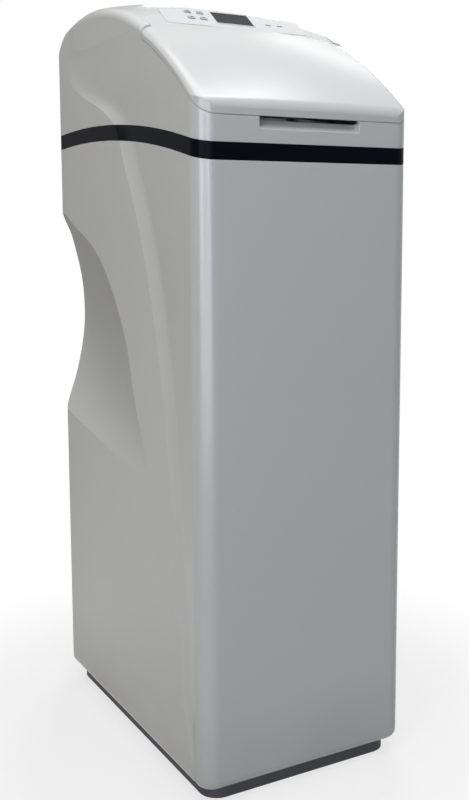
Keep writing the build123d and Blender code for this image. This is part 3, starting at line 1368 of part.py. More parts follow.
def spur_gear(teeth, turned=0.0):
    """Spur gear with involute teeth about the Z axis."""
    pitch_r = GEAR_MODULE * teeth / 2
    pressure = radians(GEAR_PRESSURE)
    base_r = pitch_r * cos(pressure)
    tip_r = pitch_r + TIP_SHORT * GEAR_MODULE
    root_r = pitch_r - GEAR_ROOT * GEAR_MODULE
    half_tooth = pi / (2 * teeth) - GEAR_BACKLASH / pitch_r
    foot_r = max(base_r, root_r)
    flank_steps = 3
    flank = []
    for j in range(flank_steps + 1):
        r = foot_r + (tip_r - foot_r) * j / flank_steps
        flank.append((r, half_tooth + involute(pressure) - involute(acos(min(1.0, base_r / r)))))
    if foot_r > root_r:
        flank = [(root_r, flank[0][1])] + flank
    points = []
    for i in range(teeth):
        middle = 2 * pi * i / teeth + turned
        points += [(r * cos(middle - a), r * sin(middle - a)) for r, a in flank]
        points += [(r * cos(middle + a), r * sin(middle + a)) for r, a in reversed(flank)]
    return extrude(make_face(Polyline(*points, close=True)), GEAR_THICK)


def drive_gear():
    """Large gear on the valve stem, lightened between hub and rim."""
    cuts = [extrude(Circle(STEM_R), GEAR_THICK)]
    for i in range(GEAR_HOLES):
        turn = 2 * pi * (i + 0.5) / GEAR_HOLES
        place = Pos(GEAR_HOLE_AT * cos(turn), GEAR_HOLE_AT * sin(turn), 0)
        cuts.append(place * extrude(Circle(GEAR_HOLE_R), GEAR_THICK))
    return Pos(0, TANK_Y, GEAR_LOW) * (spur_gear(GEAR_TEETH) - cuts)


def motor_pinion():
    """Pinion with its shaft up into the motor, a gap of its teeth towards the large gear."""
    teeth = Pos(0, MOTOR_Y, GEAR_LOW) * spur_gear(PINION_TEETH, pi / 2 + pi / PINION_TEETH)
    return teeth + upright(GEAR_LOW - 1, MOTOR_LOW + SHAFT_IN_MOTOR, MOTOR_SHAFT_R, 0, MOTOR_Y)


def drive_motor():
    """Gear motor on its two posts above the pinion."""
    can_low = MOTOR_LOW + MOTOR_PLATE
    can_top = can_low + MOTOR_HEIGHT
    plate = Pos(0, MOTOR_Y, MOTOR_LOW) * extrude(
        SlotOverall(2 * POST_REACH + MOTOR_PLATE_WIDTH / 2, MOTOR_PLATE_WIDTH), MOTOR_PLATE)
    parts = [upright(MOTOR_LOW, can_top, MOTOR_R, 0, MOTOR_Y),
             upright(can_top - 1, can_top + MOTOR_PLATE - 1, MOTOR_CAP_R, 0, MOTOR_Y)]
    for side in (-1, 1):
        x = side * MOTOR_CAP_R / 2
        front = MOTOR_Y - MOTOR_R
        parts.append(box(x - 1, x + 1, front - TERMINAL_LENGTH, front + 2,
                         can_top - TERMINAL_BELOW - TERMINAL_HEIGHT, can_top - TERMINAL_BELOW))
    return plate + parts - upright(MOTOR_LOW - 1, MOTOR_LOW + SHAFT_IN_MOTOR + 1,
                                   MOTOR_SHAFT_R + STEM_RUN, 0, MOTOR_Y)


def injector_plug():
    """Screw-in injector with a fluted knob on the left of the valve."""
    knob_face = -VALVE_HALF_X - INJECTOR_BOSS
    seat = knob_face + INJECTOR_DEPTH
    plug = rod((seat, CROSS_Y, PORT_Z), (-1, 0, 0), INJECTOR_DEPTH + 1, INJECTOR_R)
    knob = rod((knob_face, CROSS_Y, PORT_Z), (-1, 0, 0), INJECTOR_KNOB, INJECTOR_KNOB_R)
    flutes = []
    for i in range(INJECTOR_FLUTES):
        turn = 2 * pi * i / INJECTOR_FLUTES
        y, z = CROSS_Y + INJECTOR_BOSS_R * cos(turn), PORT_Z + INJECTOR_BOSS_R * sin(turn)
        flutes.append(rod((knob_face + 1, y, z), (-1, 0, 0), INJECTOR_KNOB + 2, 2))
    plug += knob - flutes
    return plug - rod((seat + 1, CROSS_Y, PORT_Z), (-1, 0, 0), INJECTOR_DEPTH - 3, ROD_BORE)


def hose_spout(x, y, z):
    """Hose spout that leaves towards the back, with a chamfered tip."""
    spout = along_y(x, y, y + BARB_LENGTH, BARB_R, z)
    return chamfer(spout.edges().group_by(Axis.Y)[-1], BARB_TIP)


def drain_elbow():
    """Drain fitting: out of the right side of the valve, then towards the back."""
    x = VALVE_HALF_X + DRAIN_BOSS
    far_x = x + ELBOW_REACH
    turn_y = CROSS_Y + ELBOW_REACH
    elbow = rod((x, CROSS_Y, PORT_Z), (1, 0, 0), ELBOW_REACH, ELBOW_R)
    elbow += [Pos(far_x, CROSS_Y, PORT_Z) * Sphere(ELBOW_R), along_y(far_x, CROSS_Y, turn_y, ELBOW_R),
              hose_spout(far_x, turn_y, PORT_Z)]
    return elbow - [rod((x - 1, CROSS_Y, PORT_Z), (1, 0, 0), ELBOW_REACH + 1, BARB_BORE),
                    along_y(far_x, CROSS_Y, turn_y + BARB_LENGTH + 1, BARB_BORE)]


def overflow_fitting():
    """Overflow spout through the wall of the rear pocket."""
    flange_y = POCKET_WALL_Y + GASKET
    inner_y = POCKET_WALL_Y - WALL - OVERFLOW_NUT - 2
    fitting = along_y(POCKET_X, inner_y, flange_y + 1, OVERFLOW_STEM_R, OVERFLOW_Z)
    fitting += [along_y(POCKET_X, flange_y, flange_y + OVERFLOW_FLANGE, OVERFLOW_FLANGE_R, OVERFLOW_Z),
                hose_spout(POCKET_X, flange_y + OVERFLOW_FLANGE, OVERFLOW_Z)]
    return fitting - along_y(POCKET_X, inner_y - 1, BACK_Y, BARB_BORE, OVERFLOW_Z)


def overflow_gasket():
    """Flat rubber ring under the flange of the overflow."""
    ring = along_y(POCKET_X, POCKET_WALL_Y, POCKET_WALL_Y + GASKET, OVERFLOW_FLANGE_R, OVERFLOW_Z)
    return ring - along_y(POCKET_X, POCKET_WALL_Y - 1, BACK_Y, OVERFLOW_STEM_R, OVERFLOW_Z)


def overflow_nut():
    """Hexagon nut inside the cabinet."""
    place = Plane((POCKET_X, POCKET_WALL_Y - WALL, OVERFLOW_Z), z_dir=(0, -1, 0))
    nut = extrude(place * RegularPolygon(OVERFLOW_NUT_R, 6), OVERFLOW_NUT)
    return nut - along_y(POCKET_X, POCKET_WALL_Y - 3 * WALL, BACK_Y, OVERFLOW_STEM_R, OVERFLOW_Z)


def flow_turbine():
    """Small turbine wheel in the outlet port."""
    wheel = along_y(0, 0, TURBINE_LENGTH, TURBINE_HUB_R, 0)
    blade = box(-BLADE_THICK / 2, BLADE_THICK / 2, -BLADE_WIDTH / 2, BLADE_WIDTH / 2,
                TURBINE_HUB_R - BLADE_THICK, TURBINE_R - BLADE_THICK)
    blade = Pos(0, TURBINE_LENGTH / 2, 0) * Rot(0, 0, BLADE_TWIST) * blade
    wheel += [Rot(0, 360 * i / TURBINE_BLADES, 0) * blade for i in range(TURBINE_BLADES)]
    wheel -= along_y(0, -1, TURBINE_LENGTH + 1, AXLE_R + AXLE_RUN, 0)
    return Pos(PORT_X, TURBINE_Y, PORT_Z) * wheel


def turbine_cage():
    """Bearing cross with the axle of the turbine, held in the outlet port."""
    start = TURBINE_Y - CAGE_LENGTH - SEAT_GAP
    stop = start + CAGE_LENGTH
    ring = along_y(PORT_X, start, stop, PORT_BORE)
    ring -= along_y(PORT_X, start - 1, stop + 1, PORT_BORE - CAGE_WALL)
    reach = PORT_BORE - CAGE_WALL / 2
    bar = box(-reach, reach, 0, CAGE_LENGTH, -CAGE_WALL / 2, CAGE_WALL / 2)
    parts = [Pos(PORT_X, start, PORT_Z) * Rot(0, turn, 0) * bar for turn in (0, 60, 120)]
    end = TURBINE_Y + TURBINE_LENGTH + SEAT_GAP
    parts += [along_y(PORT_X, start, stop, TURBINE_HUB_R), along_y(PORT_X, start, end + 1, AXLE_R),
              along_y(PORT_X, end, end + AXLE_HEAD, AXLE_HEAD_R)]
    return ring + parts


def at_well(z0, z1, radius):
    """Upright cylinder on the axis of the brine well."""
    return upright(z0, z1, radius, WELL_X, WELL_Y)


def brine_well():
    """Upright tube in the salt compartment with holes near its foot."""
    well = at_well(FLOOR_TOP, WELL_TOP, WELL_R)
    cuts = [at_well(FLOOR_TOP + WELL_BASE, WELL_TOP + 1, WELL_R - WELL_WALL)]
    for row in range(WELL_ROWS):
        z = FLOOR_TOP + WELL_HOLE_LOW + WELL_HOLE_PITCH * row
        for i in range(WELL_HOLES // 2):
            hole = Rot(0, 90, 0) * Cylinder(WELL_HOLE_R, 3 * WELL_R)
            cuts.append(Pos(WELL_X, WELL_Y, z) * Rot(0, 0, 360 / WELL_HOLES * i) * hole)
    return well - cuts


def brine_well_cap():
    """Loose cap on the well, with a hole for the pick-up tube."""
    low = WELL_TOP - CAP_SKIRT
    cap = at_well(low, WELL_TOP + CAP_THICK, WELL_R + CAP_LAP)
    return cap - [at_well(low - 1, WELL_TOP, WELL_R + SEAT_GAP),
                  at_well(low, WELL_TOP + CAP_THICK + 1, ROD_R + SEAT_GAP)]


def pickup_rod():
    """Pick-up tube with the slotted air check at its foot."""
    foot = FLOOR_TOP + WELL_BASE
    whole = at_well(foot, ROD_TOP, ROD_R) + at_well(foot, CHECK_TOP, CHECK_R)
    cuts = [at_well(foot + CHECK_PITCH, ROD_TOP + 1, ROD_BORE)]
    for i in range(CHECK_SLOTS):
        z = foot + CHECK_PITCH * (i + 1)
        cuts.append(box(WELL_X - 2 * CHECK_R, WELL_X + 2 * CHECK_R, WELL_Y - CHECK_SLOT,
                        WELL_Y + CHECK_SLOT, z, z + CHECK_SLOT))
    return whole - cuts


def safety_float():
    """Float that rises on the pick-up tube with the brine."""
    low = CHECK_TOP + SEAT_GAP
    body = at_well(low, low + FLOAT_HEIGHT, FLOAT_R)
    body = fillet(body.edges().filter_by(GeomType.CIRCLE), FLOAT_ROUND)
    return body - at_well(low - 1, low + FLOAT_HEIGHT + 1, ROD_R + FLOAT_RUN)


def salt_grid():
    """Perforated platform on hollow legs that keeps the salt off the floor."""
    grid = rounded_prism(GRID_HALF, GRID_FRONT_Y, GRID_BACK_Y, GRID_CORNER_R, GRID_Z,
                         GRID_Z + GRID_THICK)
    legs = []
    for x in (LEG_INSET - GRID_HALF, 0, GRID_HALF - LEG_INSET):
        for y in (GRID_FRONT_Y + LEG_INSET, (GRID_FRONT_Y + WELL_Y - WELL_R) / 2):
            legs.append(upright(FLOOR_TOP, GRID_Z + 1, LEG_R, x, y)
                        - upright(FLOOR_TOP - 1, GRID_Z, LEG_R - LEG_WALL, x, y))
    depth = GRID_BACK_Y - GRID_FRONT_Y - 2 * GRID_EDGE
    columns = int((2 * GRID_HALF - 2 * GRID_EDGE) // GRID_PITCH) + 1
    cuts = [upright(GRID_Z - 1, GRID_Z + GRID_THICK + 1, WELL_R + PACK_GAP, WELL_X, WELL_Y)]
    for i in range(columns):
        for j in range(int(depth // GRID_PITCH) + 1):
            x = (i - (columns - 1) / 2) * GRID_PITCH
            y = GRID_FRONT_Y + GRID_EDGE + j * GRID_PITCH
            if sqrt((x - WELL_X)**2 + (y - WELL_Y)**2) > WELL_R + 2 * GRID_HOLE_R:
                cuts.append(upright(GRID_Z - 1, GRID_Z + GRID_THICK + 1, GRID_HOLE_R, x, y))
    return grid + legs - cuts


def route_tube(name, points, radius, bore):
    """Tube along straight runs joined by tangent arcs; prints its arcs and its volume."""
    vectors = [Vector(*p) for p in points]
    runs = [b - a for a, b in zip(vectors, vectors[1:])]
    radii = []
    for before, after in zip(runs, runs[1:]):
        turn = radians(before.get_angle(after))
        radii.append(BEND_SHARE * min(before.length, after.length) / tan(turn / 2))
    path = FilletPolyline(*points, radius=radii)
    start = Plane(points[0], z_dir=runs[0])
    tube = sweep(start * Circle(radius), path=path)
    if bore:
        tube -= sweep(start * Circle(bore), path=path)
    length = sum(edge.length for edge in path.edges())
    by_section = pi * (radius**2 - bore**2) * length
    print(name, "arcs", [round(r, 1) for r in radii], "length", round(length, 1))
    print(name, "volume", round(tube.volume), "section by length", round(by_section))
    return tube


def brine_line():
    """Brine tube from the valve down to the pick-up."""
    stub = VALVE_FRONT_Y - BRINE_BOSS
    points = [(BRINE_X, stub + TUBE_SEAT, PORT_Z), (BRINE_X, stub - BRINE_STRAIGHT, PORT_Z),
              (WELL_X / 3, WELL_Y / 4, PORT_Z - BRINE_DIP), (WELL_X, WELL_Y, PORT_Z - BRINE_DROP),
              (WELL_X, WELL_Y, ROD_TOP)]
    return route_tube("brine_line", points, ROD_R, ROD_BORE)


def board_lead():
    """Lead from the socket of the control board to the drive."""
    start = CONSOLE.from_local_coords((LEAD_X, 0, BOARD_LOW - SOCKET_DEPTH))
    first = CONSOLE.from_local_coords((LEAD_X, 0, BOARD_LOW - 3 * SOCKET_DEPTH))
    points = [start, first, (LEAD_X - LEAD_ASIDE, DRIVE_Y0 - LEAD_AHEAD, LEAD_ENTRY_Z - LEAD_SAG),
              (LEAD_ENTRY_X, DRIVE_Y0 - LEAD_STRAIGHT, LEAD_ENTRY_Z),
              (LEAD_ENTRY_X, DRIVE_Y0 + DRIVE_WALL, LEAD_ENTRY_Z)]
    return route_tube("board_lead", [tuple(p) for p in points], LEAD_R, 0.0)


def power_inlet():
    """Socket for the low-voltage lead in the back wall of the hood."""
    inner = BACK_Y - WALL
    socket = along_y(JACK_X, BACK_Y - JACK_LENGTH, BACK_Y, JACK_R, JACK_Z)
    socket += along_y(JACK_X, inner - JACK_NUT, inner, JACK_R + JACK_NUT, JACK_Z)
    socket -= along_y(JACK_X, BACK_Y - JACK_LENGTH / 2, BACK_Y + 1, JACK_BORE, JACK_Z)
    return socket + along_y(JACK_X, BACK_Y - JACK_LENGTH / 2 - 1, BACK_Y - 2, 1, JACK_Z)


save("base_plinth", base_plinth())
save("cabinet_shell", cabinet_shell())
save("trim_band", trim_band())
save("hood_shell", hood_shell())
save("salt_lid", salt_lid())
save("lid_hinge_pins", *lid_hinge_pins())
save("lid_seal", lid_seal())

save("panel_fascia", panel_fascia())
save("display_window", display_window())
save("display_module", display_module())
save("button_menu", push_button(BUTTON_X[0], BUTTON_ROWS[0]))
save("button_set", push_button(BUTTON_X[0], BUTTON_ROWS[1]))
save("button_up", push_button(BUTTON_X[1], BUTTON_ROWS[0]))
save("button_down", push_button(BUTTON_X[1], BUTTON_ROWS[1]))
save("indicator_lights", *indicator_lights())
save("control_board", control_board())
save("board_screws", *board_screws())
save("board_lead", board_lead())
save("shell_screws", *shell_screws())
save("power_inlet", power_inlet())

save("pressure_tank", pressure_tank())
save("tank_boot", tank_boot())
save("gravel_bed", tank_filling(TANK_BOTTOM, GRAVEL_TOP))
save("resin_bed", tank_filling(GRAVEL_TOP, RESIN_TOP))
save("riser_tube", riser_tube())
save("bottom_strainer", bottom_strainer())
save("top_strainer", top_strainer())

save("valve_body", valve_body())
save("fixed_disc", fixed_disc())
save("moving_disc", moving_disc())
save("valve_stem", valve_stem())
save("drive_deck", drive_deck())
save("deck_screws", *deck_screws())
save("drive_gear", drive_gear())
save("motor_pinion", motor_pinion())
save("drive_motor", drive_motor())
save("drive_cover", drive_cover())
save("injector_plug", injector_plug())
save("drain_elbow", drain_elbow())
save("flow_turbine", flow_turbine())
save("turbine_cage", turbine_cage())

save("bypass_body", bypass_body())
save("bypass_knob_inlet", bypass_knob(-1))
save("bypass_knob_outlet", bypass_knob(1))
save("inlet_connector", pipe_connector(-1))
save("outlet_connector", pipe_connector(1))
save("port_seals", *port_seals())
save("coupling_clips", *coupling_clips())

save("brine_well", brine_well())
save("brine_well_cap", brine_well_cap())
save("pickup_rod", pickup_rod())
save("safety_float", safety_float())
save("brine_line", brine_line())
save("salt_grid", salt_grid())
save("overflow_fitting", overflow_fitting())
save("overflow_gasket", overflow_gasket())
save("overflow_nut", overflow_nut())
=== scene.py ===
"""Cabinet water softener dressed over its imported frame: finishes, trim, floor, light and camera."""
import logging
from dataclasses import dataclass, field
from enum import Enum
from math import cos, pi, radians, sin
from typing import Any, Iterable, Optional

import bpy
from mathutils import Matrix, Vector


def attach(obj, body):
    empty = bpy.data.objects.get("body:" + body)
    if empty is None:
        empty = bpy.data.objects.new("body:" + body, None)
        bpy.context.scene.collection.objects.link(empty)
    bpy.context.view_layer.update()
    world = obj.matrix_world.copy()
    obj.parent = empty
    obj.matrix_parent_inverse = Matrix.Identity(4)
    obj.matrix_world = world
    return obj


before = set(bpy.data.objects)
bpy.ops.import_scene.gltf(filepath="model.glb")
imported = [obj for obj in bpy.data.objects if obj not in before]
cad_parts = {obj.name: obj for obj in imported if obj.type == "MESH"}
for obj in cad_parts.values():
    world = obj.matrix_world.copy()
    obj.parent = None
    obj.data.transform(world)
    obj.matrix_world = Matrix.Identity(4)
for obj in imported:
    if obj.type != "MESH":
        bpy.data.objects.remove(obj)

LOG = logging.getLogger("softener")
MM = 0.001
# Edge colour: wear on some finishes, a painted highlight on the white shell, the navy band and the keys
# An edge takes its edge colour in full where its averaged and its own normal have this cosine, up to this
# share
EDGE_TINT_COSINE = 0.86
EDGE_TINT_SHARE = 0.55
# Most that the foot colour covers: painted shade on the white shell, a brine stain on the well
FOOT_STAIN_AND_SHADE_SHARE = 0.5
# How much longer than wide the lines of a drawn surface are
DRAW_STRETCH = 40
# How far light scatters in waxy plastic, in mm
SCATTER_MM = 2
Place = tuple[float, float, float]


def linear(hex_colour: str) -> tuple[float, float, float, float]:
    """Turn an sRGB hex colour into linear values.

    Args:
        hex_colour: Six hex digits, red first.

    Returns:
        Red, green, blue and an alpha of one.
    """
    values = []
    for i in (0, 2, 4):
        v = int(hex_colour[i:i + 2], 16) / 255
        values.append(v / 12.92 if v <= 0.04045 else ((v + 0.055) / 1.055) ** 2.4)
    return values[0], values[1], values[2], 1.0


class Grain(Enum):
    """How the surface of a moulded or worked piece was made."""

    POLISHED = "polished"
    SPARK_ERODED = "spark eroded"
    DRAWN = "drawn"
    BEADS = "beads"
    WOUND = "wound"


def add_node(tree: bpy.types.NodeTree, kind: str, values: Optional[dict[Any, Any]] = None,
             links: Optional[dict[Any, Any]] = None, **props: Any) -> bpy.types.Node:
    """Add one shader node with its settings and links.

    Args:
        tree: Node tree that takes the node.
        kind: Blender's name of the node type.
        values: Socket name or number to constant.
        links: Socket name or number to the output socket that feeds it.
        props: Properties set on the node itself.

    Returns:
        The new node.
    """
    node = tree.nodes.new(kind)
    for name, value in props.items():
        setattr(node, name, value)
    for name, value in (values or {}).items():
        node.inputs[name].default_value = value
    for name, source in (links or {}).items():
        tree.links.new(source, node.inputs[name])
    return node


@dataclass(frozen=True)
class Finish:
    """One finish: what the piece is made of and how its surface was made."""

    name: str
    colour: str
    shade: str
    roughness: float
    spread: float = 0.06
    ior: float = 1.5
    metallic: float = 0.0
    specular: float = 0.5
    grain: Grain = Grain.SPARK_ERODED
    grain_mm: float = 0.6
    relief_mm: float = 0.01
    patch_mm: float = 60.0
    edge_mm: float = 0.6
    edge_wear_and_highlight: str = ""
    foot: str = ""
    foot_mm: float = 150.0
    coat: float = 0.0
    coat_roughness: float = 0.08
    subsurface: float = 0.0

    def build(self) -> bpy.types.Material:
        """Make the material.

        Returns:
            The new material, procedural throughout.
        """
        material = bpy.data.materials.new(self.name)
        material.use_nodes = True
        tree = material.node_tree
        tree.nodes.clear()
        place = add_node(tree, "ShaderNodeTexCoord").outputs["Object"]
        patches = add_node(tree, "ShaderNodeTexNoise", {"Scale": 1 / (self.patch_mm * MM), "Detail": 3.0},
                           {"Vector": place}).outputs["Fac"]
        colour = add_node(tree, "ShaderNodeMix", {"A": linear(self.colour), "B": linear(self.shade)},
                          {"Factor": patches}, data_type="RGBA").outputs["Result"]
        spread = add_node(tree, "ShaderNodeMapRange", {"To Min": self.roughness - self.spread / 2,
                                                       "To Max": self.roughness + self.spread / 2},
                          {"Value": patches}).outputs["Result"]
        soft = add_node(tree, "ShaderNodeBevel", {"Radius": self.edge_mm * MM}, samples=4).outputs["Normal"]
        # Edge colour: wear on some finishes, a painted highlight on the white shell, the navy band and the
        # keys
        if self.edge_wear_and_highlight:
            colour = self._edge_wear_and_highlight(tree, colour, soft)
        # Darker towards the foot: painted shade on the white shell, a brine stain on the well
        if self.foot:
            colour = self._foot_stain_and_shade(tree, colour, place, patches)
        bump = add_node(tree, "ShaderNodeBump", {"Strength": 1.0, "Distance": self.relief_mm * MM},
                        {"Height": self._relief(tree, place), "Normal": soft})
        shader = add_node(tree, "ShaderNodeBsdfPrincipled",
                          {"IOR": self.ior, "Metallic": self.metallic, "Coat Weight": self.coat,
                           "Coat Roughness": self.coat_roughness, "Specular IOR Level": self.specular,
                           "Subsurface Weight": self.subsurface, "Subsurface Scale": SCATTER_MM * MM},
                          {"Base Color": colour, "Roughness": spread, "Normal": bump.outputs["Normal"]})
        add_node(tree, "ShaderNodeOutputMaterial", links={"Surface": shader.outputs["BSDF"]})
        material.diffuse_color = linear(self.colour)
        return material

    def _edge_wear_and_highlight(self, tree: bpy.types.NodeTree, colour: bpy.types.NodeSocket,
                    soft: bpy.types.NodeSocket) -> bpy.types.NodeSocket:
        """Tint the edges towards the edge colour: wear on some finishes, a painted highlight on others.

        Args:
            tree: Node tree of the material.
            colour: Colour so far.
            soft: Normal averaged over the width of an edge.

        Returns:
            Socket with the new colour.
        """
        sharp = add_node(tree, "ShaderNodeNewGeometry").outputs["Normal"]
        same = add_node(tree, "ShaderNodeVectorMath", links={0: soft, 1: sharp}, operation="DOT_PRODUCT")
        edge_share = add_node(tree, "ShaderNodeMapRange", {"From Min": 1.0, "From Max": EDGE_TINT_COSINE,
                                                       "To Max": EDGE_TINT_SHARE},
                          {"Value": same.outputs["Value"]})
        return add_node(tree, "ShaderNodeMix", {"B": linear(self.edge_wear_and_highlight)},
                        {"Factor": edge_share.outputs["Result"], "A": colour}, data_type="RGBA").outputs["Result"]

    def _foot_stain_and_shade(self, tree: bpy.types.NodeTree, colour: bpy.types.NodeSocket,
                    place: bpy.types.NodeSocket, patches: bpy.types.NodeSocket) -> bpy.types.NodeSocket:
        """Darken the lowest part towards the foot colour: painted shade on the white shell, brine stain on
        the well, cap and float.

        Args:
            tree: Node tree of the material.
            colour: Colour so far.
            place: Object coordinates, in metres.
            patches: Broad noise that breaks the darkening up.

        Returns:
            Socket with the new colour.
        """
        height = add_node(tree, "ShaderNodeSeparateXYZ", links={"Vector": place}).outputs["Z"]
        low = add_node(tree, "ShaderNodeMapRange", {"From Min": self.foot_mm * MM, "From Max": 0.0,
                                                    "To Max": FOOT_STAIN_AND_SHADE_SHARE}, {"Value": height},
                       interpolation_type="SMOOTHSTEP").outputs["Result"]
        stain_and_shade = add_node(tree, "ShaderNodeMath", links={0: low, 1: patches}, operation="MULTIPLY")
        return add_node(tree, "ShaderNodeMix", {"B": linear(self.foot)},
                        {"Factor": stain_and_shade.outputs[0], "A": colour}, data_type="RGBA").outputs["Result"]

    def _relief(self, tree: bpy.types.NodeTree, place: bpy.types.NodeSocket) -> bpy.types.NodeSocket:
        """Height pattern of the surface, at the grain's real size.

        Args:
            tree: Node tree of the material.
            place: Object coordinates, in metres.

        Returns:
            Socket with the height from zero to one.
        """
        per_metre = 1 / (self.grain_mm * MM)
        if self.grain is Grain.DRAWN:
            scale = (per_metre, per_metre, per_metre / DRAW_STRETCH)
            drawn = add_node(tree, "ShaderNodeMapping", {"Scale": scale},
                             {"Vector": place}).outputs["Vector"]
            return add_node(tree, "ShaderNodeTexNoise", {"Scale": 1.0, "Detail": 2.0},
                            {"Vector": drawn}).outputs["Fac"]
        if self.grain is Grain.BEADS:
            return add_node(tree, "ShaderNodeTexVoronoi", {"Scale": per_metre},
                            {"Vector": place}).outputs["Distance"]
        if self.grain is Grain.WOUND:
            return add_node(tree, "ShaderNodeTexWave", {"Scale": per_metre / (2 * pi), "Distortion": 1.5},
                            {"Vector": place}, wave_type="BANDS", bands_direction="Z").outputs["Fac"]
        detail = 1.0 if self.grain is Grain.POLISHED else 4.0
        return add_node(tree, "ShaderNodeTexNoise", {"Scale": per_metre, "Detail": detail},
                        {"Vector": place}).outputs["Fac"]


# ABS, injection moulded in a polished tool: deep gloss with a faint slow waviness in its reflections,
# a painted highlight whiter along its edges and painted shade darkening it towards the foot
WHITE_ABS = Finish("white_abs_polished", "E6E7E6", "E1E2E2", 0.22, 0.06, 1.53, specular=0.4,
                   grain=Grain.POLISHED, grain_mm=14.0, relief_mm=0.02, patch_mm=170, edge_mm=1.2,
                   edge_wear_and_highlight="EFEFEC", foot="A7A39C")
# The same ABS in near-black navy: dark, with hardly any sheen; a painted highlight makes its edges paler
NAVY_ABS = Finish("navy_abs_polished", "080A14", "0A0C18", 0.26, 0.06, 1.46, specular=0.03,
                  grain=Grain.POLISHED, grain_mm=10.0, relief_mm=0.015, patch_mm=120, edge_mm=0.8,
                  edge_wear_and_highlight="20222E")
# Eroded-tool polypropylene, dark grey as painted shade under the shell: matt, dusty, edges rubbed paler
PLINTH_PAINTED_SHADE = Finish("plinth_painted_shade", "34353A", "43444A", 0.62, 0.12, 1.49, grain_mm=0.9,
                     relief_mm=0.05, patch_mm=35, edge_wear_and_highlight="6A6A6C")
# Polycarbonate sheet, silk side out: even, soft and slightly greyer than the shell round it
FASCIA_SHEET = Finish("fascia_polycarbonate_silk", "E0E1E1", "DBDDDD", 0.36, 0.06, 1.58, grain_mm=0.5,
                      relief_mm=0.008, patch_mm=80, edge_mm=0.4)
# Acrylic over a black mask: smooth dark glass-like window
SMOKED_ACRYLIC = Finish("smoked_acrylic_window", "24282A", "2D3233", 0.12, 0.04, 1.49, specular=0.1,
                        grain=Grain.POLISHED, grain_mm=14.0, relief_mm=0.004, patch_mm=26, edge_mm=0.3)
# ABS key caps from a satin tool: soft sheen that breaks at the rounded rim, made paler by a painted highlight
KEY_ABS = Finish("key_abs_satin", "B4BAC2", "AAB1BA", 0.42, 0.08, 1.53, grain_mm=0.5, relief_mm=0.012,
                 patch_mm=7, edge_mm=0.35, edge_wear_and_highlight="D2D6DB")
# Screen-printed ink on the keys: flat and slightly raised
PRINT_INK = Finish("screen_print_ink", "5A6878", "4F5D6D", 0.6, 0.1, 1.5, grain_mm=0.3, relief_mm=0.01,
                   patch_mm=3, edge_mm=0.1)
# Tinted polycarbonate lens over an unlit lamp: milky green with depth
LENS_GREEN = Finish("lens_polycarbonate", "7A9186", "6B8478", 0.22, 0.05, 1.58, grain_mm=0.4,
                    relief_mm=0.01, patch_mm=6, subsurface=0.2)
# Glass-epoxy laminate under solder mask: glossy green with darker copper areas
BOARD_LAMINATE = Finish("board_solder_mask", "17502F", "0F3A22", 0.32, 0.08, 1.5, grain_mm=1.2,
                        relief_mm=0.03, patch_mm=9, coat=0.3)
# Polyester moulding of the display housing: dull black, faint flow marks
MODULE_PBT = Finish("module_polyester", "2B2D30", "34373A", 0.5, 0.08, 1.55, grain_mm=0.6,
                    relief_mm=0.02, patch_mm=15, edge_wear_and_highlight="4A4C4F")
# Steel, cold headed and zinc plated: cool sheen in drawn lines, yellowish bloom in patches
ZINC_STEEL = Finish("zinc_plated_steel", "C0C0BC", "A8A898", 0.32, 0.12, 1.5, 1.0, grain=Grain.DRAWN,
                    grain_mm=0.25, relief_mm=0.012, patch_mm=5, edge_mm=0.2, edge_wear_and_highlight="D8D8D4")
# Nitrile rubber, moulded: matt black with a pale bloom
NITRILE = Finish("nitrile_rubber", "1A1A1B", "29292A", 0.78, 0.12, 1.52, grain_mm=0.5, relief_mm=0.03,
                 patch_mm=9)
# Soft PVC, extruded: dull black that shines where it bends
PVC_SHEATH = Finish("pvc_sheath", "161617", "202022", 0.48, 0.08, 1.53, grain_mm=0.8, relief_mm=0.02,
                    patch_mm=10)
# Glass fibre wound in blue polyester: bands about 6 mm wide show through a resin gloss
WOUND_GLASS = Finish("wound_glass_polyester", "2E4E7E", "243F68", 0.3, 0.1, 1.55, grain=Grain.WOUND,
                     grain_mm=6.0, relief_mm=0.15, patch_mm=60, coat=0.4)
# Glass-filled PPO of valve and fittings: satin black with grey flow lines, paler at the edges
FILLED_PPO = Finish("ppo_glass_filled", "1E1F21", "2C2D30", 0.46, 0.14, 1.6, grain_mm=0.8,
                    relief_mm=0.04, patch_mm=18, edge_wear_and_highlight="4B4C4F")
# Ion-exchange beads, 0.6 mm in reality and drawn at 2 mm so that they show: amber grit
RESIN_BEADS = Finish("ion_exchange_beads", "8A5A22", "6E4416", 0.35, 0.1, 1.5, grain=Grain.BEADS,
                     grain_mm=2.0, relief_mm=0.8, patch_mm=8)
# Washed quartz, 3 to 5 mm stones in mixed greys and tans
GRAVEL = Finish("quartz_gravel", "8C8478", "B3A998", 0.7, 0.15, 1.54, grain=Grain.BEADS, grain_mm=5.0,
                relief_mm=2.0, patch_mm=6)
# PVC pipe, extruded: white with fine draw lines along its length
PVC_PIPE = Finish("extruded_pvc_pipe", "DADAD6", "D0D0CA", 0.4, 0.08, 1.53, grain=Grain.DRAWN,
                  grain_mm=0.8, relief_mm=0.015, patch_mm=40)
# Alumina, lapped: cool white with an almost mirror sheen
ALUMINA = Finish("lapped_alumina", "EFEDE6", "E8E5DC", 0.12, 0.05, 1.76, grain_mm=0.3, relief_mm=0.004,
                 patch_mm=15, edge_mm=0.2)
# Natural acetal of gears and turbine: waxy off-white
ACETAL = Finish("natural_acetal", "E4DFD0", "DAD3C1", 0.38, 0.08, 1.48, grain_mm=0.5, relief_mm=0.012,
                patch_mm=10, edge_mm=0.25, subsurface=0.15)
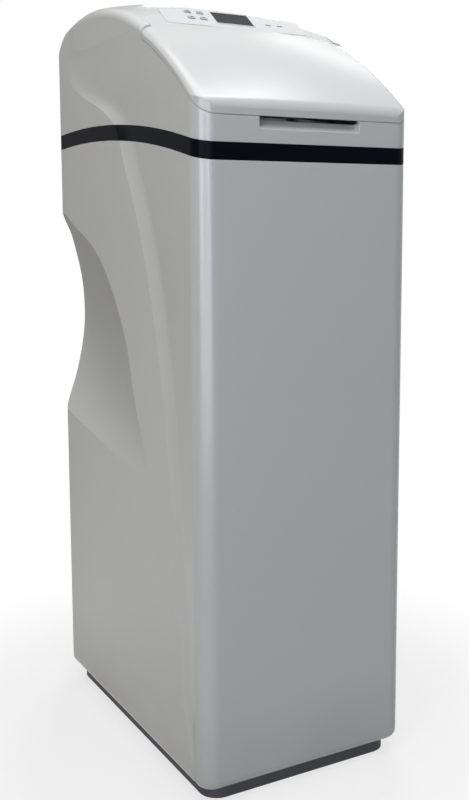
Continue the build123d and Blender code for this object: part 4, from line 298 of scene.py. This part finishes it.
# Blue polypropylene of the injector cap: waxy and even, edges scuffed paler
BLUE_PP = Finish("blue_polypropylene", "1F3F86", "1A3674", 0.4, 0.1, 1.49, grain_mm=0.7, relief_mm=0.02,
                 patch_mm=12, edge_wear_and_highlight="4463A2")
# Red acetal of knobs and clips: bright, slightly scuffed at the ribs
RED_ACETAL = Finish("red_acetal", "A82018", "96190F", 0.36, 0.08, 1.48, grain_mm=0.6, relief_mm=0.02,
                    patch_mm=14, edge_wear_and_highlight="C2564D")
# Polyethylene tube, extruded: milky and soft
PE_TUBE = Finish("milky_polyethylene", "CFD4D5", "C2C8C9", 0.4, 0.08, 1.51, grain_mm=0.8,
                 relief_mm=0.015, patch_mm=20, subsurface=0.3)
# Polyethylene of well, cap and float: waxy white, brine-stained towards the foot
PE_WHITE = Finish("white_polyethylene", "DEDFDC", "D2D3CE", 0.5, 0.1, 1.51, grain_mm=1.0,
                  relief_mm=0.03, patch_mm=45, foot="B9AE93", foot_mm=320.0, subsurface=0.1)
# Grey polypropylene of the salt platform: dull, with salt bloom in patches
GREY_PP = Finish("grey_polypropylene", "6A6C6E", "8C8E8F", 0.6, 0.12, 1.49, grain_mm=1.0,
                 relief_mm=0.05, patch_mm=28, edge_wear_and_highlight="9A9C9D")

CAD_FINISHES: dict[Finish, tuple[str, ...]] = {
    WHITE_ABS: ("cabinet_shell", "hood_shell", "salt_lid"),
    NAVY_ABS: ("trim_band",),
    PLINTH_PAINTED_SHADE: ("base_plinth",),
    FASCIA_SHEET: ("panel_fascia",),
    SMOKED_ACRYLIC: ("display_window",),
    KEY_ABS: ("button_menu", "button_set", "button_up", "button_down"),
    LENS_GREEN: ("indicator_lights",),
    BOARD_LAMINATE: ("control_board",),
    MODULE_PBT: ("display_module",),
    ZINC_STEEL: ("lid_hinge_pins", "board_screws", "shell_screws", "valve_stem", "deck_screws",
                 "drive_motor"),
    NITRILE: ("lid_seal", "port_seals", "overflow_gasket"),
    PVC_SHEATH: ("board_lead",),
    WOUND_GLASS: ("pressure_tank",),
    FILLED_PPO: ("power_inlet", "tank_boot", "bottom_strainer", "top_strainer", "valve_body",
                 "drive_deck", "drive_cover", "drain_elbow", "turbine_cage", "bypass_body",
                 "inlet_connector", "outlet_connector", "overflow_fitting", "overflow_nut"),
    RESIN_BEADS: ("resin_bed",),
    GRAVEL: ("gravel_bed",),
    PVC_PIPE: ("riser_tube", "pickup_rod"),
    ALUMINA: ("fixed_disc", "moving_disc"),
    ACETAL: ("drive_gear", "motor_pinion", "flow_turbine"),
    BLUE_PP: ("injector_plug",),
    RED_ACETAL: ("bypass_knob_inlet", "bypass_knob_outlet", "coupling_clips"),
    PE_TUBE: ("brine_line",),
    PE_WHITE: ("brine_well", "brine_well_cap", "safety_float"),
    GREY_PP: ("salt_grid",),
}


@dataclass
class Workshop:
    """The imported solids, and the materials made so far."""

    nodes: dict[str, bpy.types.Object]
    made: dict[str, bpy.types.Material] = field(default_factory=dict)

    def material(self, finish: Finish) -> bpy.types.Material:
        """Give the material of a finish, made once.

        Args:
            finish: The finish wanted.

        Returns:
            Its material.
        """
        if finish.name not in self.made:
            self.made[finish.name] = finish.build()
        return self.made[finish.name]

    def dress(self) -> int:
        """Put each finish on the solids that have it.

        Returns:
            How many solids were dressed.
        """
        count = 0
        for finish, names in CAD_FINISHES.items():
            for name in names:
                mesh = self.nodes[name].data
                mesh.materials.clear()
                mesh.materials.append(self.material(finish))
                count += 1
        return count

    def piece(self, name: str, rings: Iterable[list[Vector]], finish: Finish, body: str, slot: str,
              capped: bool = False) -> bpy.types.Object:
        """Make one piece from closed rings of points and let it ride.

        Args:
            name: Name of the piece.
            rings: Rings with equal counts of points, in metres.
            finish: What it is made of.
            body: Moving body that carries it.
            slot: Material slot of the record that it stands for; not used.
            capped: Whether the first and last rings are filled.

        Returns:
            The new object.
        """
        rows = list(rings)
        count = len(rows[0])
        faces: list[list[int]] = []
        for r in range(len(rows) - 1):
            for i in range(count):
                j = (i + 1) % count
                faces.append([r * count + i, r * count + j, (r + 1) * count + j, (r + 1) * count + i])
        if capped:
            faces.append(list(range(count))[::-1])
            faces.append([(len(rows) - 1) * count + i for i in range(count)])
        mesh = bpy.data.meshes.new(name)
        mesh.from_pydata([tuple(p) for row in rows for p in row], [], faces)
        mesh.validate()
        for face in mesh.polygons:
            face.use_smooth = len(face.vertices) == 4
        mesh.materials.append(self.material(finish))
        made = bpy.data.objects.new(name, mesh)
        bpy.context.scene.collection.objects.link(made)
        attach(made, body)
        return made


@dataclass
class ConsoleTrim:
    """Moulded and printed trim of the console: display frame, key rims and key symbols.

    Sizes are in mm. The lap of the frame and the gap round a key count both sides together.
    """

    shop: Workshop
    slope_deg: float = 36.87
    origin: Place = (0.0, -40.5, 1042.7)
    face: float = 0.4
    display: tuple[float, float] = (60.0, 31.0)
    frame_lap: float = 0.6
    frame_corner: float = 1.0
    frame_width: float = 2.4
    frame_height: float = 0.9
    keys: tuple[tuple[str, float, float], ...] = (("menu", -67.0, 9.5), ("set", -67.0, -7.0),
                                                  ("up", -48.0, 9.5), ("down", -48.0, -7.0))
    key_size: tuple[float, float] = (11.0, 7.0)
    key_top: float = 1.75
    key_gap: float = 0.6
    key_corner: float = 1.8
    rim_width: float = 0.8
    rim_height: float = 0.35
    ink: float = 0.12
    bar: tuple[float, float] = (4.8, 0.64)
    bar_step: float = 1.4
    dot_r: float = 1.8
    dot_steps: int = 24
    arrow: tuple[tuple[float, float], ...] = ((-2.2, -1.3), (2.2, -1.3), (0.0, 1.7))
    corner_steps: int = 6

    def at(self, x: float, v: float, n: float) -> Vector:
        """Turn a place on the console slope into the row frame.

        Args:
            x: Across, in mm.
            v: Up the slope, in mm.
            n: Out of the slope, in mm.

        Returns:
            The point in metres.
        """
        slope = radians(self.slope_deg)
        y = self.origin[1] + v * cos(slope) - n * sin(slope)
        z = self.origin[2] + v * sin(slope) + n * cos(slope)
        return Vector((x, y, z)) * MM

    def rounded(self, half_x: float, half_v: float, corner: float) -> list[tuple[float, float]]:
        """Rounded rectangle round the middle.

        Args:
            half_x: Half its width.
            half_v: Half its height.
            corner: Corner radius.

        Returns:
            Its points in turn.
        """
        points = []
        for quarter, (sx, sv) in enumerate(((1, 1), (-1, 1), (-1, -1), (1, -1))):
            for i in range(self.corner_steps + 1):
                turn = radians(90) * (quarter + i / self.corner_steps)
                points.append((sx * (half_x - corner) + corner * cos(turn),
                               sv * (half_v - corner) + corner * sin(turn)))
        return points

    def rim(self, name: str, middle: tuple[float, float], size: tuple[float, float], corner: float,
            width: float, height: float, finish: Finish) -> bpy.types.Object:
        """Raised rim round an opening, rounded over its top.

        Args:
            name: Name of the rim.
            middle: Middle of the opening on the slope.
            size: Width and height of the opening.
            corner: Corner radius of the opening.
            width: Width of the rim.
            height: Height of the rim.
            finish: What it is made of.

        Returns:
            The rim.
        """
        rings = []
        for step in range(self.corner_steps + 1):
            turn = pi * step / self.corner_steps
            out = width * (1 - cos(turn)) / 2
            ring = self.rounded(size[0] / 2 + out, size[1] / 2 + out, corner + out)
            rings.append([self.at(middle[0] + x, middle[1] + v, self.face + height * sin(turn) ** 0.5)
                          for x, v in ring])
        return self.shop.piece(name, rings, finish, "cabinet", "fascia_grey")

    def symbol(self, name: str, key: str, outline: list[tuple[float, float]],
               middle: tuple[float, float]) -> bpy.types.Object:
        """Printed symbol on a key.

        Args:
            name: Name of the symbol.
            key: Key that carries it.
            outline: Its outline round the middle of the key.
            middle: Middle of the key on the slope.

        Returns:
            The symbol.
        """
        rings = [[self.at(middle[0] + x, middle[1] + v, self.key_top + high) for x, v in outline]
                 for high in (-self.ink, self.ink)]
        return self.shop.piece(name, rings, PRINT_INK, key + "_key", "button_grey", capped=True)

    def symbols(self, key: str, middle: tuple[float, float]) -> list[bpy.types.Object]:
        """Symbols of one key: bars, a dot or an arrow.

        Args:
            key: Name of the key.
            middle: Middle of the key on the slope.

        Returns:
            The printed pieces.
        """
        if key == "menu":
            half_x, half_v = self.bar[0] / 2, self.bar[1] / 2
            bar = [(-half_x, -half_v), (half_x, -half_v), (half_x, half_v), (-half_x, half_v)]
            return [self.symbol(f"menu_bar_{i + 1}", key, [(x, v + lift) for x, v in bar], middle)
                    for i, lift in enumerate((self.bar_step, 0.0, -self.bar_step))]
        if key == "set":
            dot = [(self.dot_r * cos(t), self.dot_r * sin(t))
                   for t in (2 * pi * i / self.dot_steps for i in range(self.dot_steps))]
            return [self.symbol("set_dot", key, dot, middle)]
        way = 1 if key == "up" else -1
        arrow = [(x * way, v * way) for x, v in self.arrow]
        return [self.symbol(key + "_arrow", key, arrow, middle)]

    def build(self) -> list[bpy.types.Object]:
        """Build every piece of the console trim.

        Returns:
            The pieces made.
        """
        inner = (self.display[0] - self.frame_lap, self.display[1] - self.frame_lap)
        made = [self.rim("display_frame", (0.0, 0.0), inner, self.frame_corner, self.frame_width,
                         self.frame_height, WHITE_ABS)]
        size = (self.key_size[0] + self.key_gap, self.key_size[1] + self.key_gap)
        for key, x, v in self.keys:
            made.append(self.rim(key + "_key_rim", (x, v), size, self.key_corner, self.rim_width,
                                 self.rim_height, FASCIA_SHEET))
            made += self.symbols(key, (x, v))
        return made


@dataclass
class PipeEnds:
    """Threads and hose barbs at the back.

    Sizes are in mm. The halves of crest and root are shares of the pitch, and a tooth is a row of pairs:
    share of a step along, and lift over the radius in mm.
    """

    shop: Workshop
    threads: tuple[tuple[str, Place], ...] = (("inlet_thread", (-40.0, 232.0, 963.0)),
                                              ("outlet_thread", (40.0, 232.0, 963.0)))
    thread_r: float = 16.6
    thread_length: float = 15.0
    pitch: float = 2.31
    depth: float = 0.5
    crest_sink: float = 0.3
    root_sink: float = 0.35
    crest_half: float = 0.1
    root_half: float = 0.45
    fade_rate: int = 3
    barbs: tuple[tuple[str, Place], ...] = (("drain_barbs", (80.0, 111.0, 963.0)),
                                            ("overflow_barbs", (100.0, 225.0, 825.0)))
    barb_r: float = 6.5
    barb_step: float = 5.0
    barb_count: int = 4
    tooth: tuple[tuple[float, float], ...] = ((0.0, 0.7), (0.15, 0.7), (0.9, 0.0), (0.99, -0.1))
    steps: int = 40

    def thread(self, name: str, start: Place) -> bpy.types.Object:
        """Thread ridge that winds round a pipe end and fades out at both ends.

        Args:
            name: Name of the thread.
            start: Where it starts on the axis, in mm.

        Returns:
            The thread.
        """
        turns = self.thread_length / self.pitch
        total = int(turns * self.steps)
        rings = []
        for i in range(total + 1):
            turn = 2 * pi * i / self.steps
            fade = min(1.0, self.fade_rate * i / self.steps, self.fade_rate * (total - i) / self.steps)
            crest = self.thread_r - self.crest_sink + (self.crest_sink + self.depth) * fade
            root = self.thread_r - self.root_sink
            ring = []
            for along, r in ((-self.root_half, root), (-self.crest_half, crest), (self.crest_half, crest),
                             (self.root_half, root)):
                y = start[1] + self.pitch * (i / self.steps + along)
                ring.append(Vector((start[0] + r * cos(turn), y, start[2] + r * sin(turn))) * MM)
            rings.append(ring)
        return self.shop.piece(name, rings, FILLED_PPO, "cabinet", "black_plastic", capped=True)

    def barb_row(self, name: str, start: Place) -> bpy.types.Object:
        """Saw-toothed barbs round a hose spout.

        Args:
            name: Name of the row.
            start: Where it starts on the axis, in mm.

        Returns:
            The barbs.
        """
        rings = []
        for barb in range(self.barb_count):
            for along, lift in self.tooth:
                r = self.barb_r + lift
                y = start[1] + self.barb_step * (barb + along)
                rings.append([Vector((start[0] + r * cos(t), y, start[2] + r * sin(t))) * MM
                              for t in (2 * pi * i / self.steps for i in range(self.steps))])
        return self.shop.piece(name, rings, FILLED_PPO, "cabinet", "black_plastic")

    def build(self) -> list[bpy.types.Object]:
        """Build threads and barbs.

        Returns:
            The pieces made.
        """
        return ([self.thread(name, start) for name, start in self.threads]
                + [self.barb_row(name, start) for name, start in self.barbs])


@dataclass(frozen=True)
class SoftBox:
    """One lamp: its place and aim in metres, the size of its face, its power in watts and its tint.

    A box that only gloss sees is a reflector card: it shows in polished plastic and lights nothing.
    """

    name: str
    at: Place
    aim: Place
    size: tuple[float, float]
    power: float
    tint: str
    gloss_only: bool = False


SOFT_BOXES = (
    SoftBox("overhead", (-0.1, -0.3, 3.0), (0.0, 0.0, 1.0), (2.0, 2.0), 42.0, "FFFFFF"),
    SoftBox("left", (-2.45, -1.55, 1.5), (0.0, 0.0, 0.7), (1.1, 1.8), 19.0, "FFF9EE"),
    SoftBox("front_strip", (-1.15, -2.75, 1.35), (0.0, 0.0, 0.75), (0.35, 2.0), 12.5, "CFDEFF"),
    SoftBox("behind", (1.8, 2.6, 1.7), (0.0, 0.0, 0.7), (1.4, 1.4), 46.0, "FFFFFF"),
    SoftBox("corner_card", (-1.44, -1.92, 0.8), (0.0, 0.0, 0.8), (3.0, 1.6), 48.0, "EEF3FF", True),
    SoftBox("nose_card", (0.9, 0.04, 3.0), (-0.1, -0.23, 0.92), (0.5, 0.7), 5.4, "FFFFFF", True),
    SoftBox("slope_card", (1.95, 1.5, 3.0), (0.05, -0.16, 0.97), (0.9, 0.5), 2.4, "FFFFFF", True),
)


@dataclass
class Studio:
    """Floor, world, lamps and camera."""

    camera_at: Place = (-734.5, -1403.2, 761.5)
    right: Place = (0.86707, -0.498183, -0.001679)
    up: Place = (0.062961, 0.106236, 0.992346)
    lens: float = 47.505
    shift: tuple[float, float] = (-0.03422, -0.06203)
    sensor: float = 36.0
    clip: tuple[float, float] = (0.05, 50.0)
    ambient: float = 0.05
    ambient_tint: str = "FFFCF4"
    floor_half: float = 8.0
    floor_bounce: str = "B4B4B4"
    floor_seen: str = "F4F4F4"
    shadow_share: float = 0.3
    shadow_reach: tuple[float, float] = (0.28, 0.7)
    dim_side: Place = (0.3, 0.954, 0.0)
    dim_reach: tuple[float, float] = (0.66, 0.9)
    dim_share: float = 0.8

    def camera(self) -> bpy.types.Object:
        """Place the camera at the photo's angle.

        Returns:
            The camera object.
        """
        data = bpy.data.cameras.new("camera")
        data.lens = self.lens
        data.sensor_width = self.sensor
        data.shift_x, data.shift_y = self.shift
        data.clip_start, data.clip_end = self.clip
        camera = bpy.data.objects.new("camera", data)
        right, up = Vector(self.right).normalized(), Vector(self.up).normalized()
        turn = Matrix((right, up, right.cross(up))).transposed()
        camera.matrix_world = Matrix.Translation(Vector(self.camera_at) * MM) @ turn.to_4x4()
        bpy.context.scene.collection.objects.link(camera)
        bpy.context.scene.camera = camera
        return camera

    def lamp(self, box: SoftBox) -> bpy.types.Object:
        """Add one soft box.

        Args:
            box: What it is like and where it stands.

        Returns:
            The lamp object.
        """
        data = bpy.data.lights.new(box.name, "AREA")
        data.shape = "RECTANGLE"
        data.size, data.size_y = box.size
        data.energy = box.power
        data.color = linear(box.tint)[:3]
        lamp = bpy.data.objects.new(box.name, data)
        lamp.location = box.at
        if box.gloss_only:
            lamp.visible_diffuse = lamp.visible_camera = lamp.visible_transmission = False
        lamp.rotation_euler = (Vector(box.aim) - Vector(box.at)).to_track_quat("-Z", "Y").to_euler()
        bpy.context.scene.collection.objects.link(lamp)
        return lamp

    def seen(self, tree: bpy.types.NodeTree, outwards: bpy.types.NodeSocket) -> bpy.types.NodeSocket:
        """How white the surroundings are: one to the camera, and to gloss and glass less at one side.

        Args:
            tree: Node tree that takes the nodes.
            outwards: Vector that points from the object to the place looked at.

        Returns:
            Socket with the share, zero on all other rays.
        """
        path = add_node(tree, "ShaderNodeLightPath").outputs
        gloss = add_node(tree, "ShaderNodeMath", links={0: path["Is Glossy Ray"],
                                                        1: path["Is Transmission Ray"]},
                         operation="MAXIMUM").outputs[0]
        unit = add_node(tree, "ShaderNodeVectorMath", links={0: outwards}, operation="NORMALIZE")
        along = add_node(tree, "ShaderNodeVectorMath", {1: self.dim_side}, {0: unit.outputs["Vector"]},
                         operation="DOT_PRODUCT").outputs["Value"]
        dimmed = add_node(tree, "ShaderNodeMapRange", {"From Min": self.dim_reach[0],
                                                       "From Max": self.dim_reach[1], "To Min": 1.0,
                                                       "To Max": 1 - self.dim_share}, {"Value": along},
                          interpolation_type="SMOOTHSTEP").outputs["Result"]
        share = add_node(tree, "ShaderNodeMath", links={0: gloss, 1: dimmed}, operation="MULTIPLY")
        return add_node(tree, "ShaderNodeMath", links={0: path["Is Camera Ray"], 1: share.outputs[0]},
                        operation="MAXIMUM").outputs[0]

    def world(self) -> None:
        """Make the pale world: white where it is seen, dim where it only lights."""
        world = bpy.data.worlds.new("studio")
        world.use_nodes = True
        tree = world.node_tree
        tree.nodes.clear()
        lit = add_node(tree, "ShaderNodeBackground", {"Color": linear(self.ambient_tint),
                                                      "Strength": self.ambient})
        white = add_node(tree, "ShaderNodeBackground", {"Color": linear("FFFFFF"), "Strength": 1.0})
        outwards = add_node(tree, "ShaderNodeTexCoord").outputs["Generated"]
        mix = add_node(tree, "ShaderNodeMixShader", links={0: self.seen(tree, outwards),
                                                           1: lit.outputs[0], 2: white.outputs[0]})
        add_node(tree, "ShaderNodeOutputWorld", links={"Surface": mix.outputs[0]})
        bpy.context.scene.world = world

    def floor(self) -> bpy.types.Object:
        """Lay the plain pale floor, which keeps the shadow near the object and is white far off.

        Returns:
            The floor object.
        """
        material = bpy.data.materials.new("pale_floor")
        material.use_nodes = True
        tree = material.node_tree
        tree.nodes.clear()
        place = add_node(tree, "ShaderNodeTexCoord").outputs["Object"]
        far = add_node(tree, "ShaderNodeVectorMath", links={0: place}, operation="LENGTH").outputs["Value"]
        white = add_node(tree, "ShaderNodeMapRange",
                         {"From Min": self.shadow_reach[0], "From Max": self.shadow_reach[1],
                          "To Min": 1 - self.shadow_share, "To Max": 1.0}, {"Value": far},
                         interpolation_type="SMOOTHSTEP").outputs["Result"]
        share = add_node(tree, "ShaderNodeMath", links={0: self.seen(tree, place), 1: white},
                         operation="MULTIPLY").outputs[0]
        shade = add_node(tree, "ShaderNodeMix",
                         {"A": linear(self.floor_bounce), "B": linear(self.floor_seen)},
                         {"Factor": add_node(tree, "ShaderNodeLightPath").outputs["Is Camera Ray"]},
                         data_type="RGBA").outputs["Result"]
        matt = add_node(tree, "ShaderNodeBsdfDiffuse", links={"Color": shade})
        glow = add_node(tree, "ShaderNodeEmission", {"Color": linear("FFFFFF"), "Strength": 1.0})
        mix = add_node(tree, "ShaderNodeMixShader", links={0: share, 1: matt.outputs[0],
                                                           2: glow.outputs[0]})
        add_node(tree, "ShaderNodeOutputMaterial", links={"Surface": mix.outputs[0]})
        mesh = bpy.data.meshes.new("floor")
        half = self.floor_half
        mesh.from_pydata([(-half, -half, 0), (half, -half, 0), (half, half, 0), (-half, half, 0)], [],
                         [(0, 1, 2, 3)])
        mesh.materials.append(material)
        floor = bpy.data.objects.new("floor", mesh)
        bpy.context.scene.collection.objects.link(floor)
        return floor

    def lamps(self) -> None:
        """Set every soft box."""
        for box in SOFT_BOXES:
            self.lamp(box)


def main() -> None:
    """Dress the solids, add the trim and the studio, and report each piece."""
    logging.basicConfig(level=logging.INFO, format="%(message)s")
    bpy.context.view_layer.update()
    studio = Studio()
    studio.camera()
    shop = Workshop(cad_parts)
    LOG.info("finishes on %d solids", shop.dress())
    for assembly in (ConsoleTrim(shop), PipeEnds(shop)):
        for piece in assembly.build():
            LOG.info("built %s", piece.name)
    studio.floor()
    studio.world()
    studio.lamps()
    bpy.context.scene.view_settings.view_transform = "Standard"
    LOG.info("sizes written")


if __name__ == "__main__":
    main()
